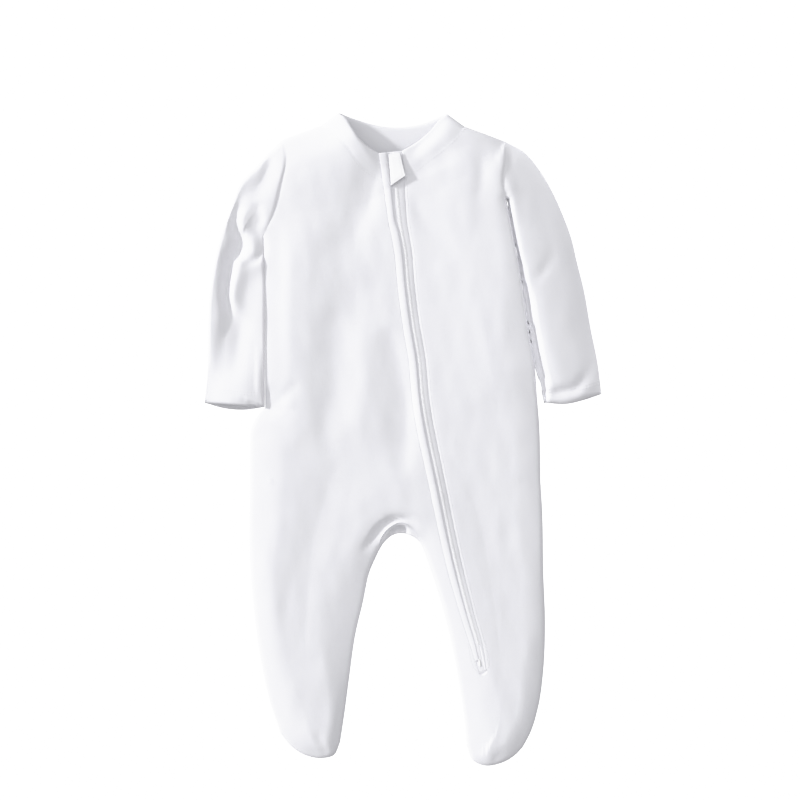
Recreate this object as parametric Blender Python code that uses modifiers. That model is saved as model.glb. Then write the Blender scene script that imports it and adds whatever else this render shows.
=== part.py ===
"""Footed baby sleepsuit in white cotton interlock, zipped and laid flat on its back.

Units are metres, +Z is up and +Y points to the neck. The origin is on the surface it lies on, in
the middle of its length and width. "Right" and "left" are the wearer's, so right is at -X.
Every panel is an open sheet over the garment's plan, with its height read from one of two
fields: top_height for the layer that shows and under_height for the layer that lies below.
Solidify then turns each sheet inwards into a wall of cloth.
"""
import bmesh
import bpy
import numpy as np
from mathutils import Matrix

MM = 0.001

# ---------------------------------------------------------------- driving sizes (millimetres)
CLOTH = 1.5                 # wall of cotton interlock
BAND_CLOTH = 2.0            # doubled cloth of the neckband
SEAM_GAP = 0.35             # parting between two sewn pieces
SEAM_HEIGHT = 5.0           # side seams and folded edges above the surface
LOFT = 11.5                 # top of the front layer just inside its rolled edge
SINK = 1.5                  # how far the front layer settles towards the middle of a panel
SINK_REACH = 45.0           # distance over which it settles
ROLL = 13.0                 # width over which the front layer rolls down to an edge
UNDER_ROLL = 8.0            # width over which the under layer curls up to an edge
EDGE_STEPS = (0.0, 0.1, 1.0, 4.5, 13.0)     # grid lines across a rolled edge, from it inwards
UNDER_STEPS = (0.0, 0.1, 1.5, 8.0)          # the same in the under layer
TOE_STEPS = (0.0, 0.2, 1.3, 5.0, 13.0)      # the same at the toes, with their nearly straight corners
UNDER_TOE_STEPS = (0.0, 0.2, 1.7, 8.0)
ON_EDGE = 0.02              # a point closer than this to a folded edge lies on it
SIDE_GAP = 0.9              # parting of front and back at a folded edge, so that their walls clear
WELD = 0.02                 # points of neighbouring sheets closer than this are one
SLIT_START = 0.049          # part of the zip's length that lies in the neckband
SLIT_CROTCH = 0.655         # part of the zip's length above the level of the crotch
SLIT_BULGE = 2.5            # depth of the round end of the slit
FOOT_START_INNER = 0.60     # where the end of the slit lies along the left leg's inner edge
FOOT_START_OUTER = 0.715    # and along its outer edge
SLEEVE_CROWN = 8.0          # width kept between the two rolled edges where a sleeve is narrow
SLEEVE_TIP = 3              # seam points left out at the shoulder, where a sleeve is too narrow

# Cells of the grids between the close grid lines of the rolled edges.
LINE_POINTS = 300           # points of a fine line
ARMHOLE_CELLS, SIDE_CELLS, HIP_CELLS = 6, 7, 4
SHOULDER_CELLS, LEFT_NECK_CELLS, BACK_NECK_CELLS = 2, 5, 2
LEG_COLUMNS, INNER_COLUMNS = 7, 3
CROTCH_CELLS, LEG_CELLS, INNER_CELLS, OUTER_LEG_CELLS, FOOT_CELLS = 4, 11, 8, 8, 4
SLIT_END_CELLS = 3
BACK_COLUMNS, BACK_LEG_CELLS = 3, 7
SLEEVE_COLUMNS, UNDER_SLEEVE_COLUMNS, FOREARM_CELLS = 4, 2, 12
BAND_CELLS = 3
STRIP_STATIONS = 40
GARAGE_CELLS = 6

# Small pieces (millimetres; heights are above the front layer).
BAND_PARTING = 0.0008       # parting of the neckband from the front, as a part of the zip's length
GUSSET_LINES = (1.0, 0.6, 0.3, 0.1, 0.008, 0.0)     # grid lines from the front's edge to the fold
PLACKET_TOP, PLACKET_BOTTOM = 2.4, -1.4
TAPE_LOW, TAPE_HIGH = -3.3, -2.4
TAPE_TUCK = 2.5             # width of the tape hidden under the cloth
COIL_MIDDLE, COIL_WIDTH, COIL_THICKNESS, COIL_HEIGHT = 1.1, 4.2, 2.2, -1.7
COIL_START, COIL_END = 0.085, 0.955
SLIDER_SIDEWAYS = 2.9
SLIDER_SIZE, SLIDER_PART, SLIDER_HEIGHT = (6.4, 9.0, 3.2), 0.027, -0.4
STOP_SIZE, STOP_PART, STOP_SIDEWAYS, STOP_HEIGHT = (2.2, 7.0, 2.0), 0.972, 0.4, -0.9
GARAGE_CORNERS = ((-12.2, 245.4), (-1.5, 247.2), (2.2, 226.0), (-10.6, 217.4))
GARAGE_RIM, GARAGE_TOP = 1.8, 5.4

# Edges of the garment seen from above: name of the point, x, y (mm).
RIGHT_SHOULDER = (
    ("armhole", -103.0, 257.5),
    ("middle", -88.5, 263.0),
    ("neck", -70.5, 269.5),
)
LEFT_SHOULDER = (
    ("neck", 52.5, 269.0),
    ("middle", 70.5, 262.5),
    ("armhole", 88.0, 256.0),
)
RIGHT_ARMHOLE = (
    ("shoulder", -103.0, 257.5),
    ("top", -101.0, 243.0),
    ("chest", -106.5, 216.5),
    ("low", -113.0, 191.5),
    ("underarm", -120.0, 174.0),
)
LEFT_ARMHOLE = (
    ("shoulder", 88.0, 256.0),
    ("top", 87.5, 241.0),
    ("chest", 85.5, 225.0),
    ("low", 86.0, 214.5),
    ("underarm", 89.0, 206.0),
)
RIGHT_SIDE = (
    ("underarm", -120.0, 174.0),
    ("ribs", -118.3, 120.0),
    ("waist", -118.3, 60.0),
    ("cuff", -118.3, 27.5),
)
RIGHT_HIP = (               # the body widens where the sleeve ends
    ("cuff", -118.3, 27.5),
    ("below cuff", -126.0, 19.0),
    ("hip", -130.0, 10.0),
    ("seat", -131.5, -9.0),
    ("thigh", -131.5, -35.0),
)
LEFT_SIDE = (
    ("underarm", 89.0, 206.0),
    ("ribs", 94.0, 178.5),
    ("waist", 100.0, 147.5),
    ("elbow", 104.0, 121.5),
    ("belly", 108.0, 94.0),
    ("wrist", 113.5, 60.0),
    ("cuff", 115.0, 38.5),
    ("hip", 117.0, 12.5),
    ("thigh", 118.0, -35.0),
)
RIGHT_LEG_OUTER = (
    ("thigh", -131.5, -35.0),
    ("knee", -132.0, -78.0),
    ("calf", -131.5, -103.5),
    ("shin", -129.0, -137.0),
    ("ankle", -122.0, -190.5),
    ("heel", -114.0, -226.0),
    ("toe", -105.0, -252.5),
)
RIGHT_LEG_INNER = (
    ("crotch", -21.0, -96.0),
    ("thigh", -28.5, -113.0),
    ("knee", -34.5, -140.0),
    ("calf", -40.5, -165.5),
    ("ankle", -46.5, -207.0),
    ("heel", -50.0, -233.5),
    ("toe", -54.0, -260.0),
)
RIGHT_TOE = (
    ("outer", -105.0, -252.5),
    ("outer bend", -97.0, -262.5),
    ("outer tip", -85.0, -270.5),
    ("tip", -69.5, -273.5),
    ("inner bend", -59.5, -271.0),
    ("inner", -54.0, -260.0),
)
LEFT_LEG_INNER = (
    ("crotch", 18.5, -97.5),
    ("thigh", 23.0, -110.5),
    ("knee", 32.5, -140.0),
    ("calf", 41.5, -175.0),
    ("ankle", 48.5, -212.0),
    ("heel", 53.5, -249.0),
    ("toe", 54.5, -262.5),
)
LEFT_LEG_OUTER = (
    ("thigh", 118.0, -35.0),
    ("knee", 119.5, -60.0),
    ("calf", 120.5, -113.0),
    ("shin", 122.0, -159.5),
    ("ankle", 120.5, -198.0),
    ("heel", 116.0, -230.0),
    ("instep", 109.0, -252.5),
    ("toe", 102.5, -264.5),
)
LEFT_TOE = (
    ("inner", 54.5, -262.5),
    ("inner bend", 60.0, -275.5),
    ("tip", 69.5, -279.8),
    ("outer tip", 83.5, -278.0),
    ("outer bend", 95.5, -271.5),
    ("outer", 102.5, -264.5),
)
CROTCH = (                  # outline of the crotch, where the gusset folds under
    ("right leg", -21.0, -96.0),
    ("right", -15.5, -87.5),
    ("right top", -9.5, -82.5),
    ("top", -2.0, -80.5),
    ("left top", 7.5, -83.0),
    ("left", 13.5, -87.5),
    ("left leg", 18.5, -97.5),
)
FRONT_CROTCH = (            # edge of the front panel, above the gusset
    ("right leg", -21.0, -96.0),
    ("right", -19.0, -85.0),
    ("right top", -12.5, -76.0),
    ("top", -2.0, -71.0),
    ("left top", 8.0, -75.5),
    ("left", 14.0, -84.5),
    ("left leg", 18.5, -97.5),
)
RIGHT_NECK = (              # front neck seam, which ends at the slit
    ("shoulder", -70.5, 269.5),
    ("side", -50.5, 254.0),
    ("front", -36.0, 235.0),
    ("low front", -26.0, 227.5),
)
LEFT_NECK = (
    ("shoulder", 52.5, 269.0),
    ("bend", 44.5, 259.5),
    ("side", 32.5, 248.5),
    ("front", 19.0, 238.5),
    ("low front", 10.0, 231.5),
)
BACK_NECK = (
    ("right", -70.5, 269.5),
    ("right bend", -49.0, 259.0),
    ("middle", -19.0, 251.0),
    ("centre", 1.0, 250.5),
    ("left middle", 21.5, 254.5),
    ("left bend", 37.0, 261.0),
    ("left", 52.5, 269.0),
)
BAND_CORNERS = {"right": (-70.1, 269.8), "left": (52.1, 269.3)}    # its seam at the folds
BAND_RIGHT_FREE = (         # free edge of the neckband's right front
    ("zip", -19.7, 245.0),
    ("low", -27.5, 249.0),
    ("middle", -37.0, 257.0),
    ("high", -44.5, 268.0),
    ("corner", -50.5, 277.0),
    ("fold", -56.0, 280.0),
)
BAND_BACK_FREE = (
    ("right fold", -56.0, 280.0),
    ("right corner", -50.5, 277.7),
    ("right", -37.0, 273.0),
    ("middle", -17.0, 268.0),
    ("centre", 1.0, 267.5),
    ("left", 19.0, 271.0),
    ("left corner", 32.0, 276.5),
    ("left fold", 38.0, 279.5),
)
BAND_LEFT_FREE = (
    ("fold", 38.0, 279.5),
    ("corner", 32.5, 275.5),
    ("high", 23.0, 264.5),
    ("middle", 11.0, 254.5),
    ("zip", -1.0, 247.5),
)
ZIP_LINE = (                # middle of the closed teeth, from the neck to the wearer's left leg
    ("neck", -11.0, 246.5),
    ("collar", -7.5, 217.0),
    ("chest", -3.5, 182.0),
    ("ribs", 0.0, 163.0),
    ("waist", 3.0, 131.0),
    ("belly", 8.0, 94.0),
    ("navel", 12.0, 71.0),
    ("hip", 15.5, 34.0),
    ("thigh", 29.5, -38.5),
    ("knee", 46.5, -116.5),
    ("calf", 55.5, -150.0),
    ("shin", 64.0, -179.5),
    ("end", 68.0, -199.0),
)
# Part of the zip's length, and distances from the teeth's line to the slit's edge on the right, to
# the slit's edge on the left and to the placket's free edge.
ZIP_WIDTHS = (
    ("neck", 0.0, 8.8, 10.0, 2.9),
    ("tab", 0.13, 8.4, 7.9, 2.7),
    ("chest", 0.15, 8.4, 7.9, 0.9),
    ("hip", 0.55, 7.6, 7.4, 0.9),
    ("knee", 0.85, 6.6, 6.2, 0.9),
    ("shin", 0.95, 5.2, 5.0, 0.9),
    ("end", 1.0, 3.6, 3.4, 0.9),
)
RIGHT_SLEEVE_OUTER = (
    ("shoulder", -103.4, 257.2),
    ("cap", -112.5, 249.0),
    ("upper arm", -125.5, 235.0),
    ("biceps", -139.5, 219.5),
    ("above elbow", -148.0, 197.5),
    ("elbow", -155.0, 178.5),
    ("below elbow", -161.0, 156.0),
    ("forearm", -166.0, 124.5),
    ("wrist", -167.5, 85.5),
    ("hem top", -168.0, 55.5),
    ("hem", -170.5, 31.5),
)
RIGHT_SLEEVE_INNER = (
    ("underarm", -120.4, 174.0),
    ("forearm", -119.3, 120.0),
    ("wrist", -120.0, 103.0),
    ("hem top", -120.0, 51.0),
    ("hem bend", -119.3, 37.5),
    ("hem", -119.3, 28.0),
)
RIGHT_HEM = (
    ("outer", -170.5, 31.5),
    ("outer middle", -153.0, 30.5),
    ("inner middle", -136.0, 29.0),
    ("inner", -119.3, 28.0),
)
RIGHT_HEM_UNDER = (         # the under layer of this hem shows below the top one
    ("outer", -170.5, 31.5),
    ("outer middle", -152.0, 26.5),
    ("inner middle", -136.5, 25.5),
    ("inner", -119.3, 28.0),
)
LEFT_SLEEVE_OUTER = (
    ("shoulder", 88.4, 255.8),
    ("cap", 104.0, 247.0),
    ("upper arm", 117.0, 232.0),
    ("biceps", 127.5, 214.5),
    ("above elbow", 136.5, 195.0),
    ("elbow", 144.5, 173.5),
    ("below elbow", 149.5, 152.5),
    ("forearm", 155.0, 130.5),
    ("wrist", 161.5, 94.0),
    ("hem top", 167.0, 66.5),
    ("hem", 170.5, 39.0),
)
LEFT_SLEEVE_INNER = (
    ("underarm", 89.5, 206.0),
    ("upper arm", 95.0, 178.5),
    ("elbow", 101.3, 147.5),
    ("below elbow", 106.0, 120.0),
    ("forearm", 110.5, 94.0),
    ("wrist", 113.8, 75.0),
    ("hem top", 116.3, 60.0),
    ("hem bend", 118.8, 47.0),
    ("hem", 122.0, 31.5),
)
LEFT_HEM = (
    ("inner", 122.0, 31.5),
    ("inner middle", 139.5, 30.5),
    ("outer middle", 155.5, 34.0),
    ("outer", 170.5, 39.0),
)

# The largest folds of the top layer: name, height (below 0 is a trough), half width,
# and the two or three plan points that it runs through (mm).
FOLDS = (
    ("chest", -1.8, 9.0, (-34, 223), (-64, 198), (-82, 125)),
    ("belly", -1.5, 8.0, (-63, 129), (-70, 70), (-73, 17)),
    ("belly ridge", 1.2, 8.0, (-50, 94), (-50, 34), (-30, 5)),
    ("beside zip", -1.4, 5.0, (-15, 103), (-8, 34), (2, -30)),
    ("cuff crease", -1.8, 4.5, (-112, 24), (-97, 42)),
    ("right thigh", -2.0, 9.0, (-63, -26), (-88, -103), (-104, -155)),
    ("right shin", -1.2, 9.0, (-54, -138), (-54, -240)),
    ("left chest dip", -1.6, 5.0, (66, 240), (62, 214)),
    ("left chest ridge", 1.0, 5.0, (77, 236), (78, 206)),
    ("left knee", -1.0, 10.0, (95, -60), (100, -130)),
    ("right armpit valley", -5.0, 4.0, (-118, 238), (-128, 213), (-142, 199)),
    ("right outer valley", -5.5, 4.5, (-143, 190), (-152, 150), (-154, 90)),
    ("right elbow hollow", -4.0, 7.0, (-131, 195), (-128, 178)),
    ("right elbow ridge", 2.5, 3.5, (-138, 200), (-134, 172), (-142, 148)),
    ("right elbow recess", -3.5, 3.0, (-122, 170), (-126, 156), (-139, 153)),
    ("right forearm hollow", -2.5, 7.0, (-128, 140), (-138, 124)),
    ("right shoulder ridge", 2.0, 5.0, (-110, 240), (-116, 210)),
    ("left inner ridge", 1.8, 4.0, (93, 218), (103, 180), (109, 140)),
    ("left hem valley", -2.8, 4.5, (135, 42), (152, 55), (163, 72)),
    ("left hem ridge", 1.2, 3.5, (148, 40), (161, 49)),
)


# ---------------------------------------------------------------- lines in the plan
def parts_of(line):
    """Part of the whole length, 0 to 1, at which each point of a line lies."""
    steps = np.linalg.norm(np.diff(line, axis=0), axis=1)
    return np.concatenate([[0.0], np.cumsum(steps)]) / steps.sum()


def read(line, stops):
    """Points of a line at the given parts of its length."""
    along = parts_of(line)
    return np.column_stack([np.interp(stops, along, line[:, axis]) for axis in range(2)])


def piece_of(line, first, last):
    """Stretch of a line between two parts of its length."""
    return read(line, np.linspace(first, last, LINE_POINTS))


def smooth(table):
    """Fine line through a table's points: cubic pieces with slopes from the points beside them."""
    points = np.array([row[-2:] for row in table], float)
    chords = np.linalg.norm(np.diff(points, axis=0), axis=1)
    knots = np.concatenate([[0.0], np.cumsum(chords)])
    slopes = np.gradient(points, knots, axis=0)
    fine = np.linspace(0.0, knots[-1], LINE_POINTS)
    span = np.clip(np.searchsorted(knots, fine, side="right") - 1, 0, len(chords) - 1)
    size = chords[span][:, None]
    t = (fine - knots[span])[:, None] / size
    return ((2 * t**3 - 3 * t**2 + 1) * points[span] + (t**3 - 2 * t**2 + t) * size * slopes[span]
            + (3 * t**2 - 2 * t**3) * points[span + 1] + (t**3 - t**2) * size * slopes[span + 1])


def between(start, end):
    """Straight line."""
    return np.array([start, end], float)


def joined(*lines):
    """Lines that follow each other, with their shared end points kept once."""
    return np.concatenate([lines[0]] + [line[1:] for line in lines[1:]])


def moved(line, distance):
    """A line moved sideways in the plan, to its left where the distance is above 0."""
    heading = np.gradient(line, axis=0)
    heading /= np.linalg.norm(heading, axis=1)[:, None]
    return line + distance * np.column_stack([-heading[:, 1], heading[:, 0]])


def fitted(line, start, end):
    """A line shifted a little so that it runs from one given point to another."""
    part = parts_of(line)[:, None]
    return line + (1 - part) * (np.array(start) - line[0]) + part * (np.array(end) - line[-1])


def even(cells):
    """Stops of equal cells."""
    return np.linspace(0.0, 1.0, cells + 1)


def rolled(line, cells, start=False, end=False, steps=EDGE_STEPS):
    """Grid points along a line, close together where it meets a folded edge at its start or end."""
    length = np.linalg.norm(np.diff(line, axis=0), axis=1).sum()
    near = np.array(steps) / length
    first = near if start else np.zeros(1)
    last = 1.0 - near[::-1] if end else np.ones(1)
    stops = [first, np.linspace(first[-1], last[0], cells + 1)[1:-1], last]
    return read(line, np.concatenate(stops))


# ---------------------------------------------------------------- sheets and heights
def sheet(top, bottom, left, right):
    """Grid of plan points between four edges: each point blends its two pairs of edges."""
    u = (0.5 * (parts_of(top) + parts_of(bottom)))[None, :, None]
    v = (0.5 * (parts_of(left) + parts_of(right)))[:, None, None]
    across = (1 - v) * top[None] + v * bottom[None]
    down = (1 - u) * left[:, None] + u * right[:, None]
    corners = ((1 - v) * ((1 - u) * top[0] + u * top[-1])
               + v * ((1 - u) * bottom[0] + u * bottom[-1]))
    return across + down - corners


def distance_to_lines(plan, lines):
    """Shortest distance from each plan point to any of the lines."""
    starts = np.concatenate([line[:-1] for line in lines])
    spans = np.concatenate([np.diff(line, axis=0) for line in lines])
    away = plan.reshape(-1, 1, 2) - starts
    t = np.clip((away * spans).sum(-1) / (spans**2).sum(-1), 0.0, 1.0)
    nearest = np.linalg.norm(away - t[..., None] * spans, axis=-1).min(axis=1)
    return nearest.reshape(plan.shape[:-1])


RIGHT_BAND_FOLD = between(BAND_CORNERS["right"], BAND_RIGHT_FREE[-1][1:])
LEFT_BAND_FOLD = between(BAND_CORNERS["left"], BAND_LEFT_FREE[0][1:])
FOLDED_EDGES = [smooth(table) for table in (
    RIGHT_SHOULDER, LEFT_SHOULDER, RIGHT_SIDE, RIGHT_HIP, LEFT_SIDE, RIGHT_LEG_OUTER,
    RIGHT_LEG_INNER, RIGHT_TOE, LEFT_LEG_OUTER, LEFT_LEG_INNER, LEFT_TOE, CROTCH,
    RIGHT_SLEEVE_OUTER, RIGHT_SLEEVE_INNER, LEFT_SLEEVE_OUTER, LEFT_SLEEVE_INNER)]
FOLDED_EDGES += [RIGHT_BAND_FOLD, LEFT_BAND_FOLD]


def reach_from_edges(plan):
    """Distance in from the nearest folded edge, and 0 for a point that lies on it."""
    return np.maximum(distance_to_lines(plan, FOLDED_EDGES) - ON_EDGE, 0.0)


def top_height(plan):
    """Height of the layer that shows: a quarter ellipse over each edge, and folds inside it."""
    reach = reach_from_edges(plan)
    roll = np.sqrt(1.0 - (1.0 - np.minimum(reach / ROLL, 1.0))**2)
    settle = SINK * np.clip((reach - ROLL) / SINK_REACH, 0.0, 1.0)
    height = (LOFT - SEAM_HEIGHT) * roll - settle
    for _name, rise, half_width, *route in FOLDS:
        across = distance_to_lines(plan, [np.array(route, float)]) / half_width
        height += rise * np.exp(-across**2) * roll
    return SEAM_HEIGHT + height


def under_height(plan, rim):
    """Height of the layer below: flat on the surface, and curled up to a rim at each edge."""
    reach = reach_from_edges(plan)
    curl = np.sqrt(1.0 - (1.0 - np.minimum(reach / UNDER_ROLL, 1.0))**2)
    return rim * (1.0 - curl)


def on_top(plan):
    """Plan points raised to the layer that shows."""
    return np.dstack([plan, top_height(plan)])


def below(plan, rim=SEAM_HEIGHT):
    """Plan points at the under layer, turned over so that their faces look down."""
    return np.dstack([plan, under_height(plan, rim)])[:, ::-1]


# ---------------------------------------------------------------- making objects
def remove_everything():
    for thing in list(bpy.data.objects):
        bpy.data.objects.remove(thing, do_unlink=True)


def material(name, colour, roughness, metallic=0.0):
    """Principled material of one colour."""
    made = bpy.data.materials.new(name)
    made.use_nodes = True
    shader = made.node_tree.nodes["Principled BSDF"]
    shader.inputs["Base Color"].default_value = (*colour, 1.0)
    shader.inputs["Roughness"].default_value = roughness
    shader.inputs["Metallic"].default_value = metallic
    made.diffuse_color = (*colour, 1.0)
    return made


def mesh_object(name, points, faces, finish):
    """Object in the sleepsuit's collection, from points in millimetres."""
    mesh = bpy.data.meshes.new(name)
    mesh.from_pydata((np.asarray(points) * MM).tolist(), [], faces)
    mesh.materials.append(finish)
    made = bpy.data.objects.new(name, mesh)
    garment.objects.link(made)
    return made


def grid_faces(rows, columns, first=0, closed=False):
    """Quads of a grid of points stored row by row; a closed grid joins its last column."""
    return [(first + r * columns + c, first + (r + 1) * columns + c,
             first + (r + 1) * columns + (c + 1) % columns, first + r * columns + (c + 1) % columns)
            for r in range(rows - 1) for c in range(columns if closed else columns - 1)]


def cloth(name, grids, finish, wall=CLOTH):
    """Wall of cloth from sheets that share edges; each sheet's outer side faces up or out."""
    points, faces = [], []
    for grid in grids:
        faces += grid_faces(*grid.shape[:2], first=len(points))
        points += grid.reshape(-1, 3).tolist()
    made = mesh_object(name, points, faces, finish)
    welded = bmesh.new()
    welded.from_mesh(made.data)
    bmesh.ops.remove_doubles(welded, verts=welded.verts, dist=WELD * MM)
    welded.to_mesh(made.data)
    welded.free()
    made.data.shade_smooth()
    walled = made.modifiers.new("wall of cloth", "SOLIDIFY")
    walled.thickness = wall * MM
    walled.offset = -1.0
    return made


def strip(name, stops, profiles, finish):
    """Closed strip along the zip: a ring of (sideways, up) offsets at each stop, and two ends."""
    path = read(ZIP_TEETH, stops)
    heading = np.gradient(path, axis=0)
    heading /= np.linalg.norm(heading, axis=1)[:, None]
    to_left = np.column_stack([-heading[:, 1], heading[:, 0]])
    rings = np.empty(profiles.shape[:2] + (3,))
    rings[..., :2] = path[:, None] + profiles[..., :1] * to_left[:, None]
    rings[..., 2] = top_height(path)[:, None] + profiles[..., 1]
    stations, sides = profiles.shape[:2]
    last = (stations - 1) * sides
    faces = grid_faces(stations, sides, closed=True)
    faces += [tuple(range(sides)), tuple(range(last + sides - 1, last - 1, -1))]
    return mesh_object(name, rings.reshape(-1, 3), faces, finish)


# ---------------------------------------------------------------- the slit and the seams
ZIP_TEETH = smooth(ZIP_LINE)


def zip_widths(stops):
    """Distance from the teeth to the slit's right and left edges and to the placket's edge."""
    _names, parts, *widths = zip(*ZIP_WIDTHS)
    return [np.interp(stops, parts, width) for width in widths]


TO_RIGHT, TO_LEFT, _TO_PLACKET = zip_widths(parts_of(ZIP_TEETH))
SLIT_RIGHT = moved(ZIP_TEETH, -TO_RIGHT[:, None])
SLIT_LEFT = moved(ZIP_TEETH, TO_LEFT[:, None])
SLIT_RIGHT_TOP = ("slit", *read(SLIT_RIGHT, [SLIT_START])[0])
SLIT_LEFT_TOP = ("slit", *read(SLIT_LEFT, [SLIT_START])[0])

# Grid points of the seams, which the pieces on both sides follow.
RIGHT_NECK_SEAM = rolled(smooth(RIGHT_NECK + (SLIT_RIGHT_TOP,)),
                         len(EDGE_STEPS) - 1 + LEG_COLUMNS + INNER_COLUMNS - SHOULDER_CELLS,
                         start=True)
LEFT_NECK_SEAM = rolled(smooth(LEFT_NECK + (SLIT_LEFT_TOP,)), LEFT_NECK_CELLS, start=True)
BACK_NECK_SEAM = rolled(smooth(BACK_NECK), BACK_NECK_CELLS, True, True, UNDER_STEPS)
RIGHT_ARMHOLE_SEAM = rolled(smooth(RIGHT_ARMHOLE), ARMHOLE_CELLS, start=True)
LEFT_ARMHOLE_SEAM = rolled(smooth(LEFT_ARMHOLE), ARMHOLE_CELLS, start=True)
FRONT_CROTCH_SEAM = read(smooth(FRONT_CROTCH), even(2 * CROTCH_CELLS))
CROTCH_FOLD = read(smooth(CROTCH), even(2 * CROTCH_CELLS))


# ---------------------------------------------------------------- cloth pieces
def toe_edge(line, cells, start=False, steps=TOE_STEPS):
    """Grid points along a line that ends at a toe, and starts there too if it goes round it."""
    return rolled(line, cells, start, True, steps)


def front_sheets():
    """The front: the trunk up to the slit, the right leg, and the left leg round the slit."""
    crotch = FRONT_CROTCH_SEAM[CROTCH_CELLS]
    slit_above = piece_of(SLIT_RIGHT, SLIT_START, SLIT_CROTCH)
    slit_below = piece_of(SLIT_RIGHT, SLIT_CROTCH, 1.0)
    slit_outer = piece_of(SLIT_LEFT, SLIT_START, 1.0)

    leg_top = rolled(between(RIGHT_HIP[-1][1:], crotch), LEG_COLUMNS, True, True)
    thigh_top = rolled(between(crotch, slit_above[-1]), INNER_COLUMNS, True)
    shoulder = rolled(smooth(RIGHT_SHOULDER), SHOULDER_CELLS, True)
    trunk = sheet(joined(shoulder, RIGHT_NECK_SEAM), joined(leg_top, thigh_top),
                  joined(RIGHT_ARMHOLE_SEAM, rolled(smooth(RIGHT_SIDE), SIDE_CELLS),
                         rolled(smooth(RIGHT_HIP), HIP_CELLS)),
                  rolled(slit_above, ARMHOLE_CELLS + SIDE_CELLS + HIP_CELLS, True))

    right_leg = sheet(leg_top, toe_edge(smooth(RIGHT_TOE), LEG_COLUMNS, start=True),
                      toe_edge(smooth(RIGHT_LEG_OUTER), CROTCH_CELLS + LEG_CELLS),
                      joined(FRONT_CROTCH_SEAM[CROTCH_CELLS::-1],
                             toe_edge(smooth(RIGHT_LEG_INNER), LEG_CELLS)))

    leg_inner, leg_outer = smooth(LEFT_LEG_INNER), smooth(LEFT_LEG_OUTER)
    inner = rolled(piece_of(leg_inner, 0.0, FOOT_START_INNER), INNER_CELLS)
    foot_inner = rolled(between(inner[-1], slit_below[-1]), INNER_COLUMNS, True)
    inner_leg = sheet(thigh_top, foot_inner, joined(FRONT_CROTCH_SEAM[CROTCH_CELLS:], inner),
                      rolled(slit_below, CROTCH_CELLS + INNER_CELLS))

    outer = rolled(piece_of(leg_outer, 0.0, FOOT_START_OUTER), OUTER_LEG_CELLS)
    columns = len(EDGE_STEPS) - 1 + SHOULDER_CELLS + LEFT_NECK_CELLS
    foot_outer = rolled(between(slit_outer[-1], outer[-1]), columns, end=True)
    shoulder = rolled(smooth(LEFT_SHOULDER), SHOULDER_CELLS, end=True)
    rows = ARMHOLE_CELLS + SIDE_CELLS + HIP_CELLS
    outer_side = sheet(joined(LEFT_NECK_SEAM[::-1], shoulder), foot_outer,
                       rolled(slit_outer, rows + OUTER_LEG_CELLS, True),
                       joined(LEFT_ARMHOLE_SEAM,
                              rolled(smooth(LEFT_SIDE), SIDE_CELLS + HIP_CELLS), outer))

    slit_end = read(between(slit_below[-1], slit_outer[-1]), even(SLIT_END_CELLS))
    slit_end[1:-1, 1] -= SLIT_BULGE
    foot = sheet(joined(foot_inner, slit_end, foot_outer),
                 toe_edge(smooth(LEFT_TOE), INNER_COLUMNS + SLIT_END_CELLS + columns, start=True),
                 toe_edge(piece_of(leg_inner, FOOT_START_INNER, 1.0), FOOT_CELLS),
                 toe_edge(piece_of(leg_outer, FOOT_START_OUTER, 1.0), FOOT_CELLS))
    return [trunk, right_leg, inner_leg, outer_side, foot]


def back_sheets():
    """The back: the trunk and both legs, with the soles."""
    def edge(line, cells, start=False, end=False):
        return rolled(line, cells, start, end, UNDER_STEPS)

    crotch = CROTCH_FOLD[CROTCH_CELLS]
    right_top = edge(between(RIGHT_HIP[-1][1:], crotch), BACK_COLUMNS, True, True)
    left_top = edge(between(crotch, LEFT_SIDE[-1][1:]), BACK_COLUMNS, True, True)
    trunk = sheet(joined(edge(smooth(RIGHT_SHOULDER), SHOULDER_CELLS, start=True),
                         BACK_NECK_SEAM,
                         edge(smooth(LEFT_SHOULDER), SHOULDER_CELLS, end=True)),
                  joined(right_top, left_top),
                  joined(RIGHT_ARMHOLE_SEAM, edge(smooth(RIGHT_SIDE), SIDE_CELLS),
                         edge(smooth(RIGHT_HIP), HIP_CELLS, end=True)),
                  joined(LEFT_ARMHOLE_SEAM,
                         edge(smooth(LEFT_SIDE), SIDE_CELLS + HIP_CELLS, end=True)))
    right_inner = joined(CROTCH_FOLD[CROTCH_CELLS::-1],
                         toe_edge(smooth(RIGHT_LEG_INNER), BACK_LEG_CELLS, steps=UNDER_TOE_STEPS))
    left_inner = joined(CROTCH_FOLD[CROTCH_CELLS:],
                        toe_edge(smooth(LEFT_LEG_INNER), BACK_LEG_CELLS, steps=UNDER_TOE_STEPS))
    rows = CROTCH_CELLS + BACK_LEG_CELLS
    right_leg = sheet(right_top, toe_edge(smooth(RIGHT_TOE), BACK_COLUMNS, True, UNDER_TOE_STEPS),
                      toe_edge(smooth(RIGHT_LEG_OUTER), rows, steps=UNDER_TOE_STEPS), right_inner)
    left_leg = sheet(left_top, toe_edge(smooth(LEFT_TOE), BACK_COLUMNS, True, UNDER_TOE_STEPS),
                     left_inner, toe_edge(smooth(LEFT_LEG_OUTER), rows, steps=UNDER_TOE_STEPS))
    return [trunk, right_leg, left_leg]


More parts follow.
